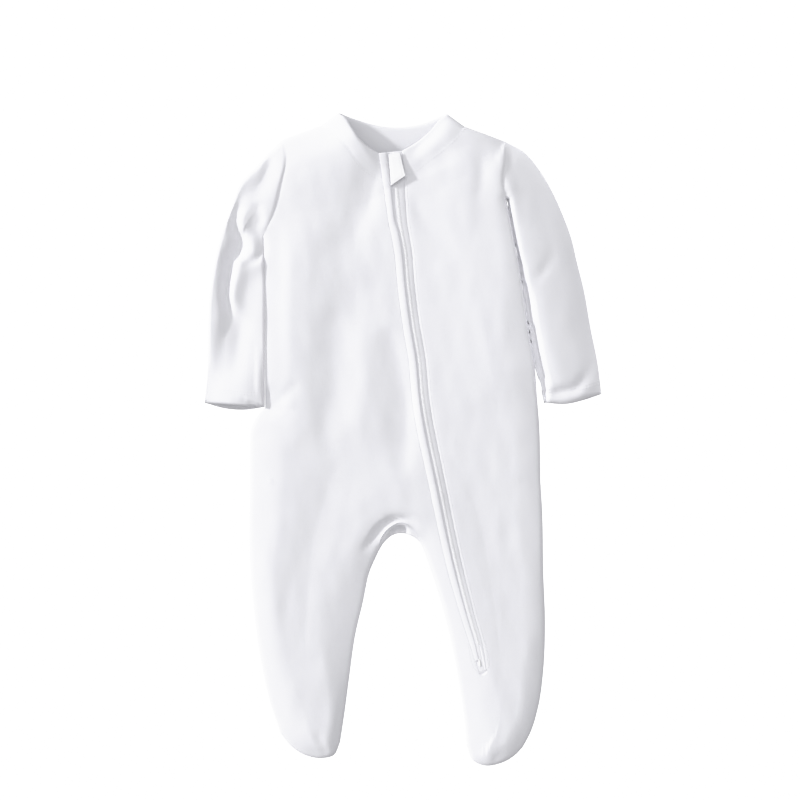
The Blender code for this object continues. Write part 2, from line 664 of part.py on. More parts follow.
def rungs(left, right, last_row, cells, steps):
    """Grid of straight rows from a left edge to a right one, each fine at its two ends; the
    last row follows a line of its own."""
    length = np.linalg.norm(right - left, axis=1)[:, None]
    near = np.array(steps) * np.minimum(1.0, length / (2.0 * steps[-1] + SLEEVE_CROWN))
    near[:, 1] = steps[1]
    middle = near[:, -1:] + (length - 2.0 * near[:, -1:]) * even(cells)[1:-1]
    part = np.hstack([near, middle, length - near[:, ::-1]]) / length
    grid = left[:, None] + part[..., None] * (right - left)[:, None]
    grid[-1] = read(last_row, part[-1])
    return grid


def sleeve_sheets(armhole_seam, inner, outer, hem, hem_under):
    """A sleeve's two layers: rows from the armhole and the inner fold across to the outer fold."""
    armhole = fitted(armhole_seam, outer[0], inner[0])
    side = joined(armhole, read(inner, even(FOREARM_CELLS)))
    edges = [side[SLEEVE_TIP:], read(outer, parts_of(side))[SLEEVE_TIP:]]
    edges.sort(key=lambda edge: edge[-1, 0])
    return [on_top(rungs(*edges, hem, SLEEVE_COLUMNS, EDGE_STEPS)),
            below(rungs(*edges, hem_under, UNDER_SLEEVE_COLUMNS, UNDER_STEPS))]


def neckband_sheets():
    """The neckband: its right front, its back and its left front, folded over at each shoulder."""
    right_corner, left_corner = BAND_CORNERS["right"], BAND_CORNERS["left"]
    right_end = read(SLIT_RIGHT, [SLIT_START - BAND_PARTING])[0]
    left_end = read(SLIT_LEFT, [SLIT_START - BAND_PARTING])[0]
    across = even(BAND_CELLS)[None, :, None]
    sheets = []
    for seam, free, layer in (
            (fitted(moved(RIGHT_NECK_SEAM, SEAM_GAP), right_corner, right_end)[::-1],
             smooth(BAND_RIGHT_FREE), on_top),
            (fitted(moved(BACK_NECK_SEAM, SEAM_GAP), right_corner, left_corner)[::-1],
             smooth(BAND_BACK_FREE)[::-1], below),
            (fitted(moved(LEFT_NECK_SEAM, -SEAM_GAP), left_corner, left_end),
             smooth(BAND_LEFT_FREE), on_top)):
        free = read(free, parts_of(seam))[:, None]
        sheets.append(layer(free + across * (seam[:, None] - free)))
    return sheets


def gusset_sheet():
    """The strip that shows between the front's edge and the fold of the crotch."""
    upper = moved(FRONT_CROTCH_SEAM, -SEAM_GAP)[1:-1]
    lower = CROTCH_FOLD[1:-1]
    down = 1.0 - np.array(GUSSET_LINES)[:, None, None]
    return on_top(upper[None] + down * (lower - upper)[None])


# ---------------------------------------------------------------- zip pieces
def placket_profiles(stops):
    """Sections of the placket: a padded fold, flat below and round on top."""
    to_right, _to_left, to_edge = zip_widths(stops)
    outer, inner = SEAM_GAP - to_right, -to_edge
    width = inner - outer
    lines = [(0.0, PLACKET_BOTTOM), (0.0, 0.3), (0.15, 1.5), (0.42, PLACKET_TOP),
             (0.75, PLACKET_TOP - 0.2), (1.0, 0.9), (1.0, -0.5), (0.82, PLACKET_BOTTOM)]
    return np.stack([np.column_stack([outer + part * width, np.full(len(stops), up)])
                     for part, up in lines], axis=1)


def flat_profiles(starts, ends, low, high):
    """Sections of a flat strip between two distances from the teeth's line."""
    corners = [(starts, low), (starts, high), (ends, high), (ends, low)]
    return np.stack([np.column_stack([np.broadcast_to(side, ends.shape), np.full(len(ends), up)])
                     for side, up in corners], axis=1)


def coil_profiles(count):
    """Sections of the closed teeth: an eight-sided oval."""
    turn = np.pi * (np.arange(8) + 0.5) / 4.0
    ring = np.column_stack([COIL_MIDDLE - 0.5 * COIL_WIDTH * np.cos(turn),
                            COIL_HEIGHT + 0.5 * COIL_THICKNESS * np.sin(turn)])
    return np.broadcast_to(ring, (count, 8, 2))


def rounded_box(name, part, size, sideways, height, bevel, finish):
    """Box with rounded edges that lies across the zip at one part of its length."""
    place = read(ZIP_TEETH, [part - 0.01, part, part + 0.01])
    heading = place[2] - place[0]
    heading /= np.linalg.norm(heading)
    centre = place[1] + sideways * np.array([-heading[1], heading[0]])
    bpy.ops.mesh.primitive_cube_add(size=1.0)
    made = bpy.context.active_object
    made.name = made.data.name = name
    for collection in list(made.users_collection):
        collection.objects.unlink(made)
    garment.objects.link(made)
    made.data.transform(Matrix.Diagonal((*(MM * np.array(size)), 1.0)))
    made.location = MM * np.array([*centre, top_height(place)[1] + height])
    made.rotation_euler.z = np.arctan2(heading[0], -heading[1])
    made.data.materials.append(finish)
    rounding = made.modifiers.new("rounded edges", "BEVEL")
    rounding.width = bevel * MM
    rounding.segments = 2
    return made


def garage_sheet():
    """The tab over the slider: a slanted four-sided sheet, crowned over the slider."""
    u = np.linspace(0.0, 1.0, GARAGE_CELLS + 1)[None, :, None]
    v = np.linspace(0.0, 1.0, GARAGE_CELLS + 3)[:, None, None]
    top_right, top_left, low_left, low_right = (np.array(c, float) for c in GARAGE_CORNERS)
    plan = ((1 - v) * ((1 - u) * top_right + u * top_left)
            + v * ((1 - u) * low_right + u * low_left))
    crown = (1 - np.abs(2 * u - 1)**5) * (1 - np.abs(2 * v - 1)**7)
    base = top_height(plan).mean()
    return np.dstack([plan, base + GARAGE_RIM + (GARAGE_TOP - GARAGE_RIM) * crown[..., 0]])


# ---------------------------------------------------------------- the garment
remove_everything()
garment = bpy.data.collections.new("baby_sleepsuit")
bpy.context.scene.collection.children.link(garment)
COTTON = (0.86, 0.86, 0.88)
ZIP_WHITE = (0.82, 0.82, 0.84)

interlock = material("white cotton interlock", COTTON, 0.85)
cloth("front", [on_top(plan) for plan in front_sheets()], interlock)
cloth("back", [below(plan, SEAM_HEIGHT - SIDE_GAP) for plan in back_sheets()], interlock)
cloth("sleeve_right", sleeve_sheets(
    RIGHT_ARMHOLE_SEAM, smooth(RIGHT_SLEEVE_INNER), smooth(RIGHT_SLEEVE_OUTER),
    smooth(RIGHT_HEM), smooth(RIGHT_HEM_UNDER)), interlock)
cloth("sleeve_left", sleeve_sheets(
    LEFT_ARMHOLE_SEAM, smooth(LEFT_SLEEVE_INNER), smooth(LEFT_SLEEVE_OUTER),
    smooth(LEFT_HEM), smooth(LEFT_HEM)), interlock)
cloth("neckband", neckband_sheets(), material("doubled cotton band", COTTON, 0.85), BAND_CLOTH)
cloth("gusset", [gusset_sheet()], material("cotton gusset", COTTON, 0.85))
cloth("zip_garage", [garage_sheet()], material("cotton garage tab", (0.9, 0.9, 0.9), 0.8))

stops = np.linspace(0.0, 0.99, STRIP_STATIONS)
strip("zip_placket", stops, placket_profiles(stops), material("cotton placket", COTTON, 0.85))
tape = material("woven polyester tape", ZIP_WHITE, 0.7)
to_right, to_left, _to_edge = zip_widths(stops)
strip("zip_tape_right", stops,
      flat_profiles(-to_right - TAPE_TUCK, COIL_MIDDLE - 0.5 * COIL_WIDTH - SEAM_GAP + 0 * stops,
                    TAPE_LOW, TAPE_HIGH), tape)
strip("zip_tape_left", stops,
      flat_profiles(COIL_MIDDLE + 0.5 * COIL_WIDTH + SEAM_GAP + 0 * stops, to_left + TAPE_TUCK,
                    TAPE_LOW, TAPE_HIGH), tape)
stops = np.linspace(COIL_START, COIL_END, STRIP_STATIONS)
strip("zip_coil", stops, coil_profiles(STRIP_STATIONS),
      material("polyester zip coil", ZIP_WHITE, 0.45))
rounded_box("zip_slider", SLIDER_PART, SLIDER_SIZE, SLIDER_SIDEWAYS, SLIDER_HEIGHT, 0.8,
            material("enamelled zip slider", (0.8, 0.8, 0.8), 0.35, 0.4))
rounded_box("zip_stop", STOP_PART, STOP_SIZE, STOP_SIDEWAYS, STOP_HEIGHT, 0.6,
            material("white plastic stop", (0.92, 0.92, 0.92), 0.4))
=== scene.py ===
"""Footed baby sleepsuit in white cotton interlock, zipped and laid flat on its back.

Lengths are in millimetres until a mesh is made of them. +Y points to the neck, +X to the wearer's
left, and "right" and "left" are the wearer's.
"""

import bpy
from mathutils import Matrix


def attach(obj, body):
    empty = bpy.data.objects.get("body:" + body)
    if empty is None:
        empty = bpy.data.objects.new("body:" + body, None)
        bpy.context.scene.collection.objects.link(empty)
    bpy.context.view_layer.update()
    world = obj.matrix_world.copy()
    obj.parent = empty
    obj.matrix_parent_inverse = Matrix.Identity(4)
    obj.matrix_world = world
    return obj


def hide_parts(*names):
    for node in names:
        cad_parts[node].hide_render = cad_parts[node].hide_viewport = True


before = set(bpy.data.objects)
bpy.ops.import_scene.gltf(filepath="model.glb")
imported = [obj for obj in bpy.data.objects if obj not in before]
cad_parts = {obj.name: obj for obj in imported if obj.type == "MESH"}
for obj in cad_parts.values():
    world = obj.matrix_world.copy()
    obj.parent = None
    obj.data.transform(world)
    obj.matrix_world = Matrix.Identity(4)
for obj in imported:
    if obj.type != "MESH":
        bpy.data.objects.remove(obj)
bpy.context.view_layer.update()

import bmesh
import bpy
import numpy as np
from mathutils import Vector

MM = 0.001
scene = bpy.context.scene


# ------------------------------------------------------------------ table, daylight and camera
# A plain white table, lit so evenly from below that it takes no shadow, as for a catalogue.
# Low daylight comes over the wearer's right side, and pale walls all round fill the shadows.
TOWARDS_WINDOW = Vector((-0.897, 0.299, 0.326))
WINDOW_STRENGTH, WINDOW_SPREAD = 2.38, 0.09
WALL_LIGHT = (0.34, 0.735)      # from the wall across the room, and from the window's side
WALL_WHITE = (0.985, 0.985, 1.0, 1.0)
PANEL_PLACE, PANEL_SIZE, PANEL_WATTS = Vector((0.0, 0.9, 1.3)), 0.8, 4.4    # over the neck end
TABLE_GLOW, TABLE_REACH, TABLE_TOP = 1.7, 3.0, -0.0004
CAMERA_CENTRE, CAMERA_HEIGHT = (-2.6, 34.0), 3000.0
VIEW_WIDTH, SENSOR_WIDTH = 688.0, 36.0


def add_node(tree, kind, inputs=None, **settings):
    """Adds a node: settings are its options, inputs are numbers, colours or output sockets."""
    made = tree.nodes.new(kind)
    for name, value in settings.items():
        setattr(made, name, value)
    for name, value in (inputs or {}).items():
        if isinstance(value, bpy.types.NodeSocket):
            tree.links.new(value, made.inputs[name])
        else:
            made.inputs[name].default_value = value
    return made


table_top = bpy.data.materials.new("lit white table top")
table_top.use_nodes = True
table_top.node_tree.nodes.clear()
glow = add_node(table_top.node_tree, "ShaderNodeEmission", {"Strength": TABLE_GLOW})
add_node(table_top.node_tree, "ShaderNodeOutputMaterial", {"Surface": glow.outputs[0]})
mesh = bpy.data.meshes.new("table")
mesh.from_pydata([(TABLE_REACH * x, TABLE_REACH * y, TABLE_TOP)
                  for x, y in ((-1, -1), (1, -1), (1, 1), (-1, 1))], [], [(0, 1, 2, 3)])
mesh.materials.append(table_top)
table = bpy.data.objects.new("table", mesh)
scene.collection.objects.link(table)
table.visible_diffuse = False

world = bpy.data.worlds.new("pale walls")
scene.world = world
world.use_nodes = True
walls = world.node_tree
side = add_node(walls, "ShaderNodeVectorMath", {
    0: add_node(walls, "ShaderNodeTexCoord").outputs["Generated"],
    1: tuple(TOWARDS_WINDOW.normalized())}, operation="DOT_PRODUCT")
walls.links.new(
    add_node(walls, "ShaderNodeMapRange", {
        "Value": side.outputs["Value"], "From Min": -1.0, "From Max": 1.0,
        "To Min": WALL_LIGHT[0], "To Max": WALL_LIGHT[1]}).outputs["Result"],
    walls.nodes["Background"].inputs["Strength"])
walls.nodes["Background"].inputs["Color"].default_value = WALL_WHITE

window = bpy.data.objects.new("window", bpy.data.lights.new("window", "SUN"))
window.data.energy = WINDOW_STRENGTH
window.data.angle = WINDOW_SPREAD
window.rotation_euler = TOWARDS_WINDOW.to_track_quat("Z", "Y").to_euler()
scene.collection.objects.link(window)

panel = bpy.data.objects.new("ceiling_panel", bpy.data.lights.new("ceiling_panel", "AREA"))
panel.data.energy = PANEL_WATTS
panel.data.size = PANEL_SIZE
panel.location = PANEL_PLACE
panel.rotation_euler = PANEL_PLACE.to_track_quat("Z", "Y").to_euler()
scene.collection.objects.link(panel)

camera = bpy.data.objects.new("camera", bpy.data.cameras.new("camera"))
camera.location = (CAMERA_CENTRE[0] * MM, CAMERA_CENTRE[1] * MM, CAMERA_HEIGHT * MM)
camera.data.sensor_width = SENSOR_WIDTH
camera.data.lens = SENSOR_WIDTH * CAMERA_HEIGHT / VIEW_WIDTH
camera.data.clip_end = 20.0
scene.collection.objects.link(camera)
scene.camera = camera
scene.view_settings.view_transform = "Standard"

# Highlights roll off softly above the tone of flat cloth, so that bright edges keep their shape.
HIGHLIGHTS = ((0.45, 0.45), (0.80, 0.80), (0.88, 0.876), (0.94, 0.918), (1.0, 0.946),
              (1.1, 0.968), (1.3, 0.988), (1.6, 1.0))        # light, and the tone it is given
BRIGHTEST = 2.0
scene.view_settings.use_curve_mapping = True
tones = scene.view_settings.curve_mapping
tones.white_level = (BRIGHTEST, BRIGHTEST, BRIGHTEST)
for light, tone in HIGHLIGHTS:
    tones.curves[3].points.new(light / BRIGHTEST, tone)
tones.update()


# ------------------------------------------------------------------ back panel
# One piece of cotton interlock for the seat, both legs and the soles. It lies on the table and
# curls up along its edges to the side seams. Its outline is that of the front, but for the neck.
RIGHT_SHOULDER = ((-103, 257.5), (-88.5, 263), (-70.5, 269.5))  # armhole to neck
LEFT_SHOULDER = ((52.5, 269), (70.5, 262.5), (88, 256))  # neck to armhole
RIGHT_ARMHOLE = (  # shoulder to underarm
    (-103, 257.5), (-101, 243), (-105, 216.5), (-111.5, 193), (-120, 174))
LEFT_ARMHOLE = ((88, 256), (87.5, 241), (85.5, 225), (86, 214.5), (89, 206))  # shoulder to underarm
RIGHT_SIDE = ((-120, 174), (-118.3, 120), (-118.3, 60), (-118.3, 27.5))  # underarm to cuff
RIGHT_HIP = ((-118.3, 27.5), (-126, 19), (-130, 10), (-131.5, -9), (-131.5, -35))  # cuff to thigh
LEFT_SIDE = (  # underarm to thigh
    (89, 206), (94, 178.5), (100, 147.5), (104, 121.5), (108, 94), (113.5, 60), (115, 38.5),
    (117, 12.5), (118, -35))
RIGHT_LEG_OUTER = (  # thigh to toe
    (-131.5, -35), (-132, -78), (-131.5, -103.5), (-129, -137), (-122, -190.5), (-114, -226),
    (-105, -252.5))
RIGHT_LEG_INNER = (  # crotch to toe
    (-21, -96), (-28.5, -113), (-34.5, -140), (-40.5, -165.5), (-46.5, -207), (-50, -233.5),
    (-54, -260))
RIGHT_TOE = (  # outer to inner
    (-105, -252.5), (-97, -262.5), (-85, -270.5), (-69.5, -273.5), (-59.5, -271), (-54, -260))
LEFT_LEG_INNER = (  # crotch to toe
    (18.5, -97.5), (23, -110.5), (32.5, -140), (41.5, -175), (48.5, -212), (53.5, -249),
    (54.5, -262.5))
LEFT_LEG_OUTER = (  # thigh to toe
    (118, -35), (119.5, -60), (120.5, -113), (122, -159.5), (120.5, -198), (116, -230),
    (109, -252.5), (102.5, -264.5))
LEFT_TOE = (  # inner to outer
    (54.5, -262.5), (60, -275.5), (69.5, -279.8), (83.5, -278), (95.5, -271.5), (102.5, -264.5))
CROTCH = (  # right leg to left leg
    (-21, -96), (-15.5, -87.5), (-9.5, -82.5), (-2, -80.5), (7.5, -83), (13.5, -87.5),
    (18.5, -97.5))
BACK_NECK = (  # right to left
    (-70.5, 269.5), (-49, 259), (-19, 251), (1, 250.5), (21.5, 254.5), (37, 261), (52.5, 269))
RIGHT_SLEEVE_OUTER = (  # shoulder to hem
    (-103.4, 257.2), (-112.5, 249), (-125.5, 235), (-139.5, 219.5), (-148, 197.5), (-155, 178.5),
    (-161, 156), (-166, 124.5), (-167.5, 85.5), (-168, 55.5), (-170.5, 31.5))
RIGHT_SLEEVE_INNER = ((-120, 174), (-118.4, 120), (-118.5, 60), (-118.7, 28))  # underarm to hem
LEFT_SLEEVE_OUTER = (  # shoulder to hem
    (88.4, 255.8), (104, 247), (117, 232), (127.5, 214.5), (136.5, 195), (144.5, 173.5),
    (149.5, 152.5), (155, 130.5), (161.5, 94), (167, 66.5), (170.5, 39))
LEFT_SLEEVE_INNER = (  # underarm to hem
    (89.5, 206), (94.4, 178.5), (100.2, 147.5), (104.4, 120), (108.1, 94), (111.4, 75), (114.8, 60),
    (118.3, 47), (122, 31.5))
CELL = 2.2                  # usual size of a grid cell
LINE_POINTS = 160           # points of a fine line
WELD = 0.02                 # points of neighbouring sheets closer than this are one
SEAM_HEIGHT = 5.0           # side seams and folded edges above the table
TOGETHER = ((-120, 176), (-118.8, 54))      # the right sleeve lies against the body here
TOGETHER_RISE, TOGETHER_WIDTH = 2.8, 13.0   # and the edges of both are higher
OUTER_DROP, OUTER_WIDTH = ((60, 150), (0.8, 2.6)), 15.0     # left sleeve: its outer edge is lower,
INNER_DROP, INNER_SHARE, INNER_WIDTH = 1.8, 0.8, 5.0        # its inner one more than the body's
CREVICE = (                 # y, and how wide the left sleeve stays low beside the body
    (31, 40, 51, 68, 86, 103, 120, 137, 160, 200),
    (0.5, 3, 4.8, 5.8, 6, 4.5, 4.4, 2.7, 1.4, 0.8))
NOTCH, NOTCH_DEPTH, NOTCH_WIDTH = (-3.5, -81.0), 3.2, 7.5   # the crotch's edge sinks here
CLOTH = 1.0                 # wall of the cotton
UNDER_CURL = 9.0            # width over which the under layer curls up to an edge
UNDER_CREASES, CREASE_FLOOR = (5, 34.0, 0.5, 1.6), 0.25     # seed, size, height, lean; cut off
CREASE_END, CREASE_FADE = 235.0, 20.0       # none of them shows inside the neck
ROLLED = (0.0, 0.08, 0.35, 0.9, 1.8, 3.2, 5.0, 7.4, 10.4, 14.0)     # grid lines beside a fold
UNDER_ROLLED = (0.0, 0.08, 0.5, 1.8, 4.2, 8.0)
COTTON_WHITE = "#F1F1F4"


def linear(hex_colour):
    """Linear red, green, blue and alpha of an sRGB hex colour."""
    srgb = np.array([int(hex_colour[place:place + 2], 16) for place in (1, 3, 5)]) / 255.0
    low = srgb / 12.92
    high = ((srgb + 0.055) / 1.055)**2.4
    return (*np.where(srgb <= 0.04045, low, high).tolist(), 1.0)


def parts_of(line):
    """Part of the whole length, 0 to 1, at which each point of a line lies."""
    steps = np.linalg.norm(np.diff(line[:, :2], axis=0), axis=1)
    return np.concatenate([[0.0], np.cumsum(steps)]) / steps.sum()


def read(line, stops):
    """Rows of a line at the given parts of its length."""
    along = parts_of(line)
    return np.column_stack([np.interp(stops, along, column) for column in line.T])


def smooth(table, count=LINE_POINTS):
    """Fine line through a table's rows: cubic pieces with slopes from the rows beside them."""
    rows = np.array(table, float)
    chords = np.linalg.norm(np.diff(rows[:, :2], axis=0), axis=1)
    knots = np.concatenate([[0.0], np.cumsum(chords)])
    slopes = np.gradient(rows, knots, axis=0)
    fine = np.linspace(0.0, knots[-1], count)
    span = np.clip(np.searchsorted(knots, fine, side="right") - 1, 0, len(chords) - 1)
    size = chords[span][:, None]
    t = (fine - knots[span])[:, None] / size
    return ((2 * t**3 - 3 * t**2 + 1) * rows[span] + (t**3 - 2 * t**2 + t) * size * slopes[span]
            + (3 * t**2 - 2 * t**3) * rows[span + 1] + (t**3 - t**2) * size * slopes[span + 1])


def piece_of(line, first, last):
    """Stretch of a line between two parts of its length."""
    return read(line, np.linspace(first, last, LINE_POINTS))


def between(start, end):
    """Straight line."""
    return np.array([start, end], float)


def joined(*lines):
    """Lines that follow each other, with their shared end points kept once."""
    return np.concatenate([lines[0]] + [line[1:] for line in lines[1:]])


def length_of(line):
    """Sum of the lengths of a line's steps."""
    return np.linalg.norm(np.diff(line, axis=0), axis=1).sum()


def stations(line, cells=None, start=(0.0,), end=(0.0,)):
    """Grid points along a line: at given distances from its start and its end, even between."""
    length = length_of(line)
    first, last = start[-1] / length, 1.0 - end[-1] / length
    if cells is None:
        cells = max(1, round((last - first) * length / CELL))
    stops = [np.array(start) / length, np.linspace(first, last, cells + 1)[1:-1],
             1.0 - np.array(end[::-1]) / length]
    return read(line, np.concatenate(stops))


def sheet(top, bottom, left, right):
    """Grid of plan points between four edges: each point blends its two pairs of edges."""
    u = (0.5 * (parts_of(top) + parts_of(bottom)))[None, :, None]
    v = (0.5 * (parts_of(left) + parts_of(right)))[:, None, None]
    across = (1 - v) * top[None] + v * bottom[None]
    down = (1 - u) * left[:, None] + u * right[:, None]
    corners = ((1 - v) * ((1 - u) * top[0] + u * top[-1])
               + v * ((1 - u) * bottom[0] + u * bottom[-1]))
    return across + down - corners


def nearest_on(plan, lines):
    """Distance from each plan point to the nearest of some lines, which line and how far along
    it that is, counted in its segments, and 1 to the line's left, -1 to its right, less beyond
    its ends."""
    flat = plan.reshape(-1, 2)
    starts = np.concatenate([line[:-1, :2] for line in lines])
    spans = np.concatenate([np.diff(line[:, :2], axis=0) for line in lines])
    found = np.empty((len(flat), 3))
    for first in range(0, len(flat), 4000):
        away = flat[first:first + 4000, None] - starts
        t = np.clip((away * spans).sum(-1) / (spans**2).sum(-1), 0.0, 1.0)
        offset = away - t[..., None] * spans
        gap = (offset**2).sum(-1)
        pick = gap.argmin(axis=1)
        rows = np.arange(len(pick))
        reach = np.sqrt(gap[rows, pick])
        cross = spans[pick, 0] * offset[rows, pick, 1] - spans[pick, 1] * offset[rows, pick, 0]
        turn = cross / (np.linalg.norm(spans[pick], axis=1) * np.maximum(reach, 1e-6))
        found[first:first + 4000] = np.column_stack([reach, pick + t[rows, pick], turn])
    return [column.reshape(plan.shape[:-1]) for column in found.T]


def quarter_round(reach, width):
    """0 at an edge and 1 at the given width inside it, along a quarter of an ellipse."""
    return np.sqrt(1.0 - (1.0 - np.clip(reach / width, 0.0, 1.0))**2)


def ripples(plan, seed, size, height, lean):
    """Uneven low waves: forty sine waves of random heading, length and phase, longer across
    than along where lean is above 1."""
    chance = np.random.default_rng(seed)
    turn = chance.uniform(0.0, np.pi, 40)
    waves = size * chance.uniform(0.6, 2.2, 40)
    push = np.column_stack([np.cos(turn) * lean, np.sin(turn)]) * (2 * np.pi / waves)[:, None]
    phase = chance.uniform(0.0, 2 * np.pi, 40)
    return height * np.sin(plan @ push.T + phase).sum(-1) / np.sqrt(20.0)


BODY_EDGES = [smooth(edge, 90) for edge in (
    RIGHT_SHOULDER, LEFT_SHOULDER, RIGHT_SIDE, RIGHT_HIP, LEFT_SIDE, RIGHT_LEG_OUTER,
    RIGHT_LEG_INNER, RIGHT_TOE, LEFT_LEG_OUTER, LEFT_LEG_INNER, LEFT_TOE, CROTCH)]


def rim_height(plan):
    """Height of the folded edges: higher where the right sleeve lies against the body, lower
    along both edges of the left sleeve and at the crotch, each by exp(-(distance / width)^2)
    or ^4."""
    together = nearest_on(plan, [between(*TOGETHER)])[0]
    outer = nearest_on(plan, [smooth(LEFT_SLEEVE_OUTER, 60)])[0]
    inner, _along, side = nearest_on(plan, [smooth(LEFT_SLEEVE_INNER, 90)])
    inner = np.maximum(inner - np.interp(plan[..., 1], *CREVICE) * (side > 0), 0.0)
    notch = np.linalg.norm(plan - NOTCH, axis=-1)
    return (SEAM_HEIGHT + TOGETHER_RISE * np.exp(-(together / TOGETHER_WIDTH)**4)
            - np.interp(plan[..., 1], *OUTER_DROP) * np.exp(-(outer / OUTER_WIDTH)**2)
            - (INNER_DROP + INNER_SHARE * side) * np.exp(-(inner / INNER_WIDTH)**2)
            - NOTCH_DEPTH * np.exp(-(notch / NOTCH_WIDTH)**4))


def under_height(plan, edges):
    """Height of the layer below: flat on the table but for shallow creases, and curled up to a
    rim along its edges."""
    curl = quarter_round(nearest_on(plan, edges)[0], UNDER_CURL)
    creases = np.maximum(ripples(plan, *UNDER_CREASES) - CREASE_FLOOR, 0.0) * curl
    creases *= np.clip((CREASE_END - plan[..., 1]) / CREASE_FADE, 0.0, 1.0)
    return rim_height(plan) * (1.0 - curl) + creases


def mesh_from_grids(name, grids, finish):
    """Mesh of one or more grids of points, in millimetres, with their shared edges welded."""
    points, faces, first = [], [], 0
    for grid in grids:
        rows, columns = grid.shape[:2]
        corner = first + np.arange(rows * columns).reshape(rows, columns)
        faces.append(np.stack([corner[:-1, :-1], corner[1:, :-1], corner[1:, 1:],
                               corner[:-1, 1:]], axis=-1).reshape(-1, 4))
        points.append(grid.reshape(-1, 3))
        first += rows * columns
    made = bpy.data.meshes.new(name)
    made.from_pydata((np.concatenate(points) * MM).tolist(), [], np.concatenate(faces).tolist())
    welded = bmesh.new()
    welded.from_mesh(made)
    bmesh.ops.remove_doubles(welded, verts=welded.verts, dist=WELD * MM)
    welded.to_mesh(made)
    welded.free()
    made.materials.append(finish)
    made.shade_smooth()
    return made


def laid_out(name, mesh, node=None):
    """Piece of the suit from a finished mesh; it stands for one of the solids, if any."""
    piece = bpy.data.objects.new(name, mesh)
    scene.collection.objects.link(piece)
    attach(piece, "root")
    if node:
        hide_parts(node)
    return piece


def cloth(name, grids, finish, node, wall=CLOTH):
    """Piece of cloth: a wall of the given thickness inside the sheets that the grids give."""
    piece = laid_out(name, mesh_from_grids(name, grids, finish), node)
    walled = piece.modifiers.new("wall of cloth", "SOLIDIFY")
    walled.thickness = wall * MM
    walled.offset = -1.0
    return piece


def finish_of(name, ior):
    """New material, its node tree and shader, and the place on the piece that patterns read."""
    made = bpy.data.materials.new(name)
    made.use_nodes = True
    shader = made.node_tree.nodes["Principled BSDF"]
    shader.inputs["IOR"].default_value = ior
    place = add_node(made.node_tree, "ShaderNodeTexCoord").outputs["Object"]
    return made, made.node_tree, shader, place


def interlock(name, colour, turn=0.0, wale=1.35, course=1.05):
    """Cotton interlock: soft matte white knit of fine yarn, brushed to a faint bloom.

    Columns of V stitches: across a wale the two legs of each stitch stand up as two rounded
    ribs, and along it they follow each other slantwise. Real wales are 0.7 mm wide; they are
    drawn twice as coarse, or they would not show. Colour and roughness wander a little.
    """
    made, tree, shader, place = finish_of(name, 1.45)
    turned = add_node(tree, "ShaderNodeMapping", {"Vector": place, "Rotation": (0, 0, turn)})
    split = add_node(tree, "ShaderNodeSeparateXYZ", {0: turned.outputs[0]})

    def sum_of(kind, *inputs):
        """Output of one sum, named by its kind, of the inputs in their order."""
        return add_node(tree, "ShaderNodeMath", dict(enumerate(inputs)), operation=kind).outputs[0]

    wales = sum_of("PINGPONG", sum_of("MULTIPLY", split.outputs["X"], 1.0 / (wale * MM)), 0.5)
    courses = sum_of("MULTIPLY_ADD", split.outputs["Y"], 1.0 / (course * MM), wales)
    legs = sum_of("SINE", sum_of("MULTIPLY", wales, 2 * np.pi))
    stitches = sum_of("SINE", sum_of("MULTIPLY", courses, 2 * np.pi))
    knit = sum_of("MULTIPLY", legs, sum_of("MULTIPLY_ADD", stitches, 0.35, 0.65))
    fibres = add_node(tree, "ShaderNodeTexNoise", {
        "Vector": place, "Scale": 1 / 0.0011, "Detail": 3.0, "Roughness": 0.6})
    relief = sum_of("MULTIPLY_ADD", fibres.outputs["Fac"], 0.8, knit)
    bump = add_node(tree, "ShaderNodeBump", {
        "Height": relief, "Strength": 0.35, "Distance": 0.00012})
    mottle = add_node(tree, "ShaderNodeTexNoise", {
        "Vector": place, "Scale": 1 / 0.030, "Detail": 4.0, "Roughness": 0.55})
    shade = linear(colour)
    darker = tuple(0.972 * part for part in shade[:2]) + (0.985 * shade[2], 1.0)
    tone = add_node(tree, "ShaderNodeMix", {
        "Factor": mottle.outputs["Fac"], "A": darker, "B": shade}, data_type="RGBA")
    nap = add_node(tree, "ShaderNodeMapRange", {
        "Value": fibres.outputs["Fac"], "To Min": 0.82, "To Max": 0.95})
    tree.links.new(tone.outputs[2], shader.inputs["Base Color"])
    tree.links.new(nap.outputs[0], shader.inputs["Roughness"])
    tree.links.new(bump.outputs[0], shader.inputs["Normal"])
    shader.inputs["Specular IOR Level"].default_value = 0.25
    shader.inputs["Sheen Weight"].default_value = 0.12
    shader.inputs["Sheen Roughness"].default_value = 0.5
    return made


white_interlock = interlock("white cotton interlock", COTTON_WHITE)


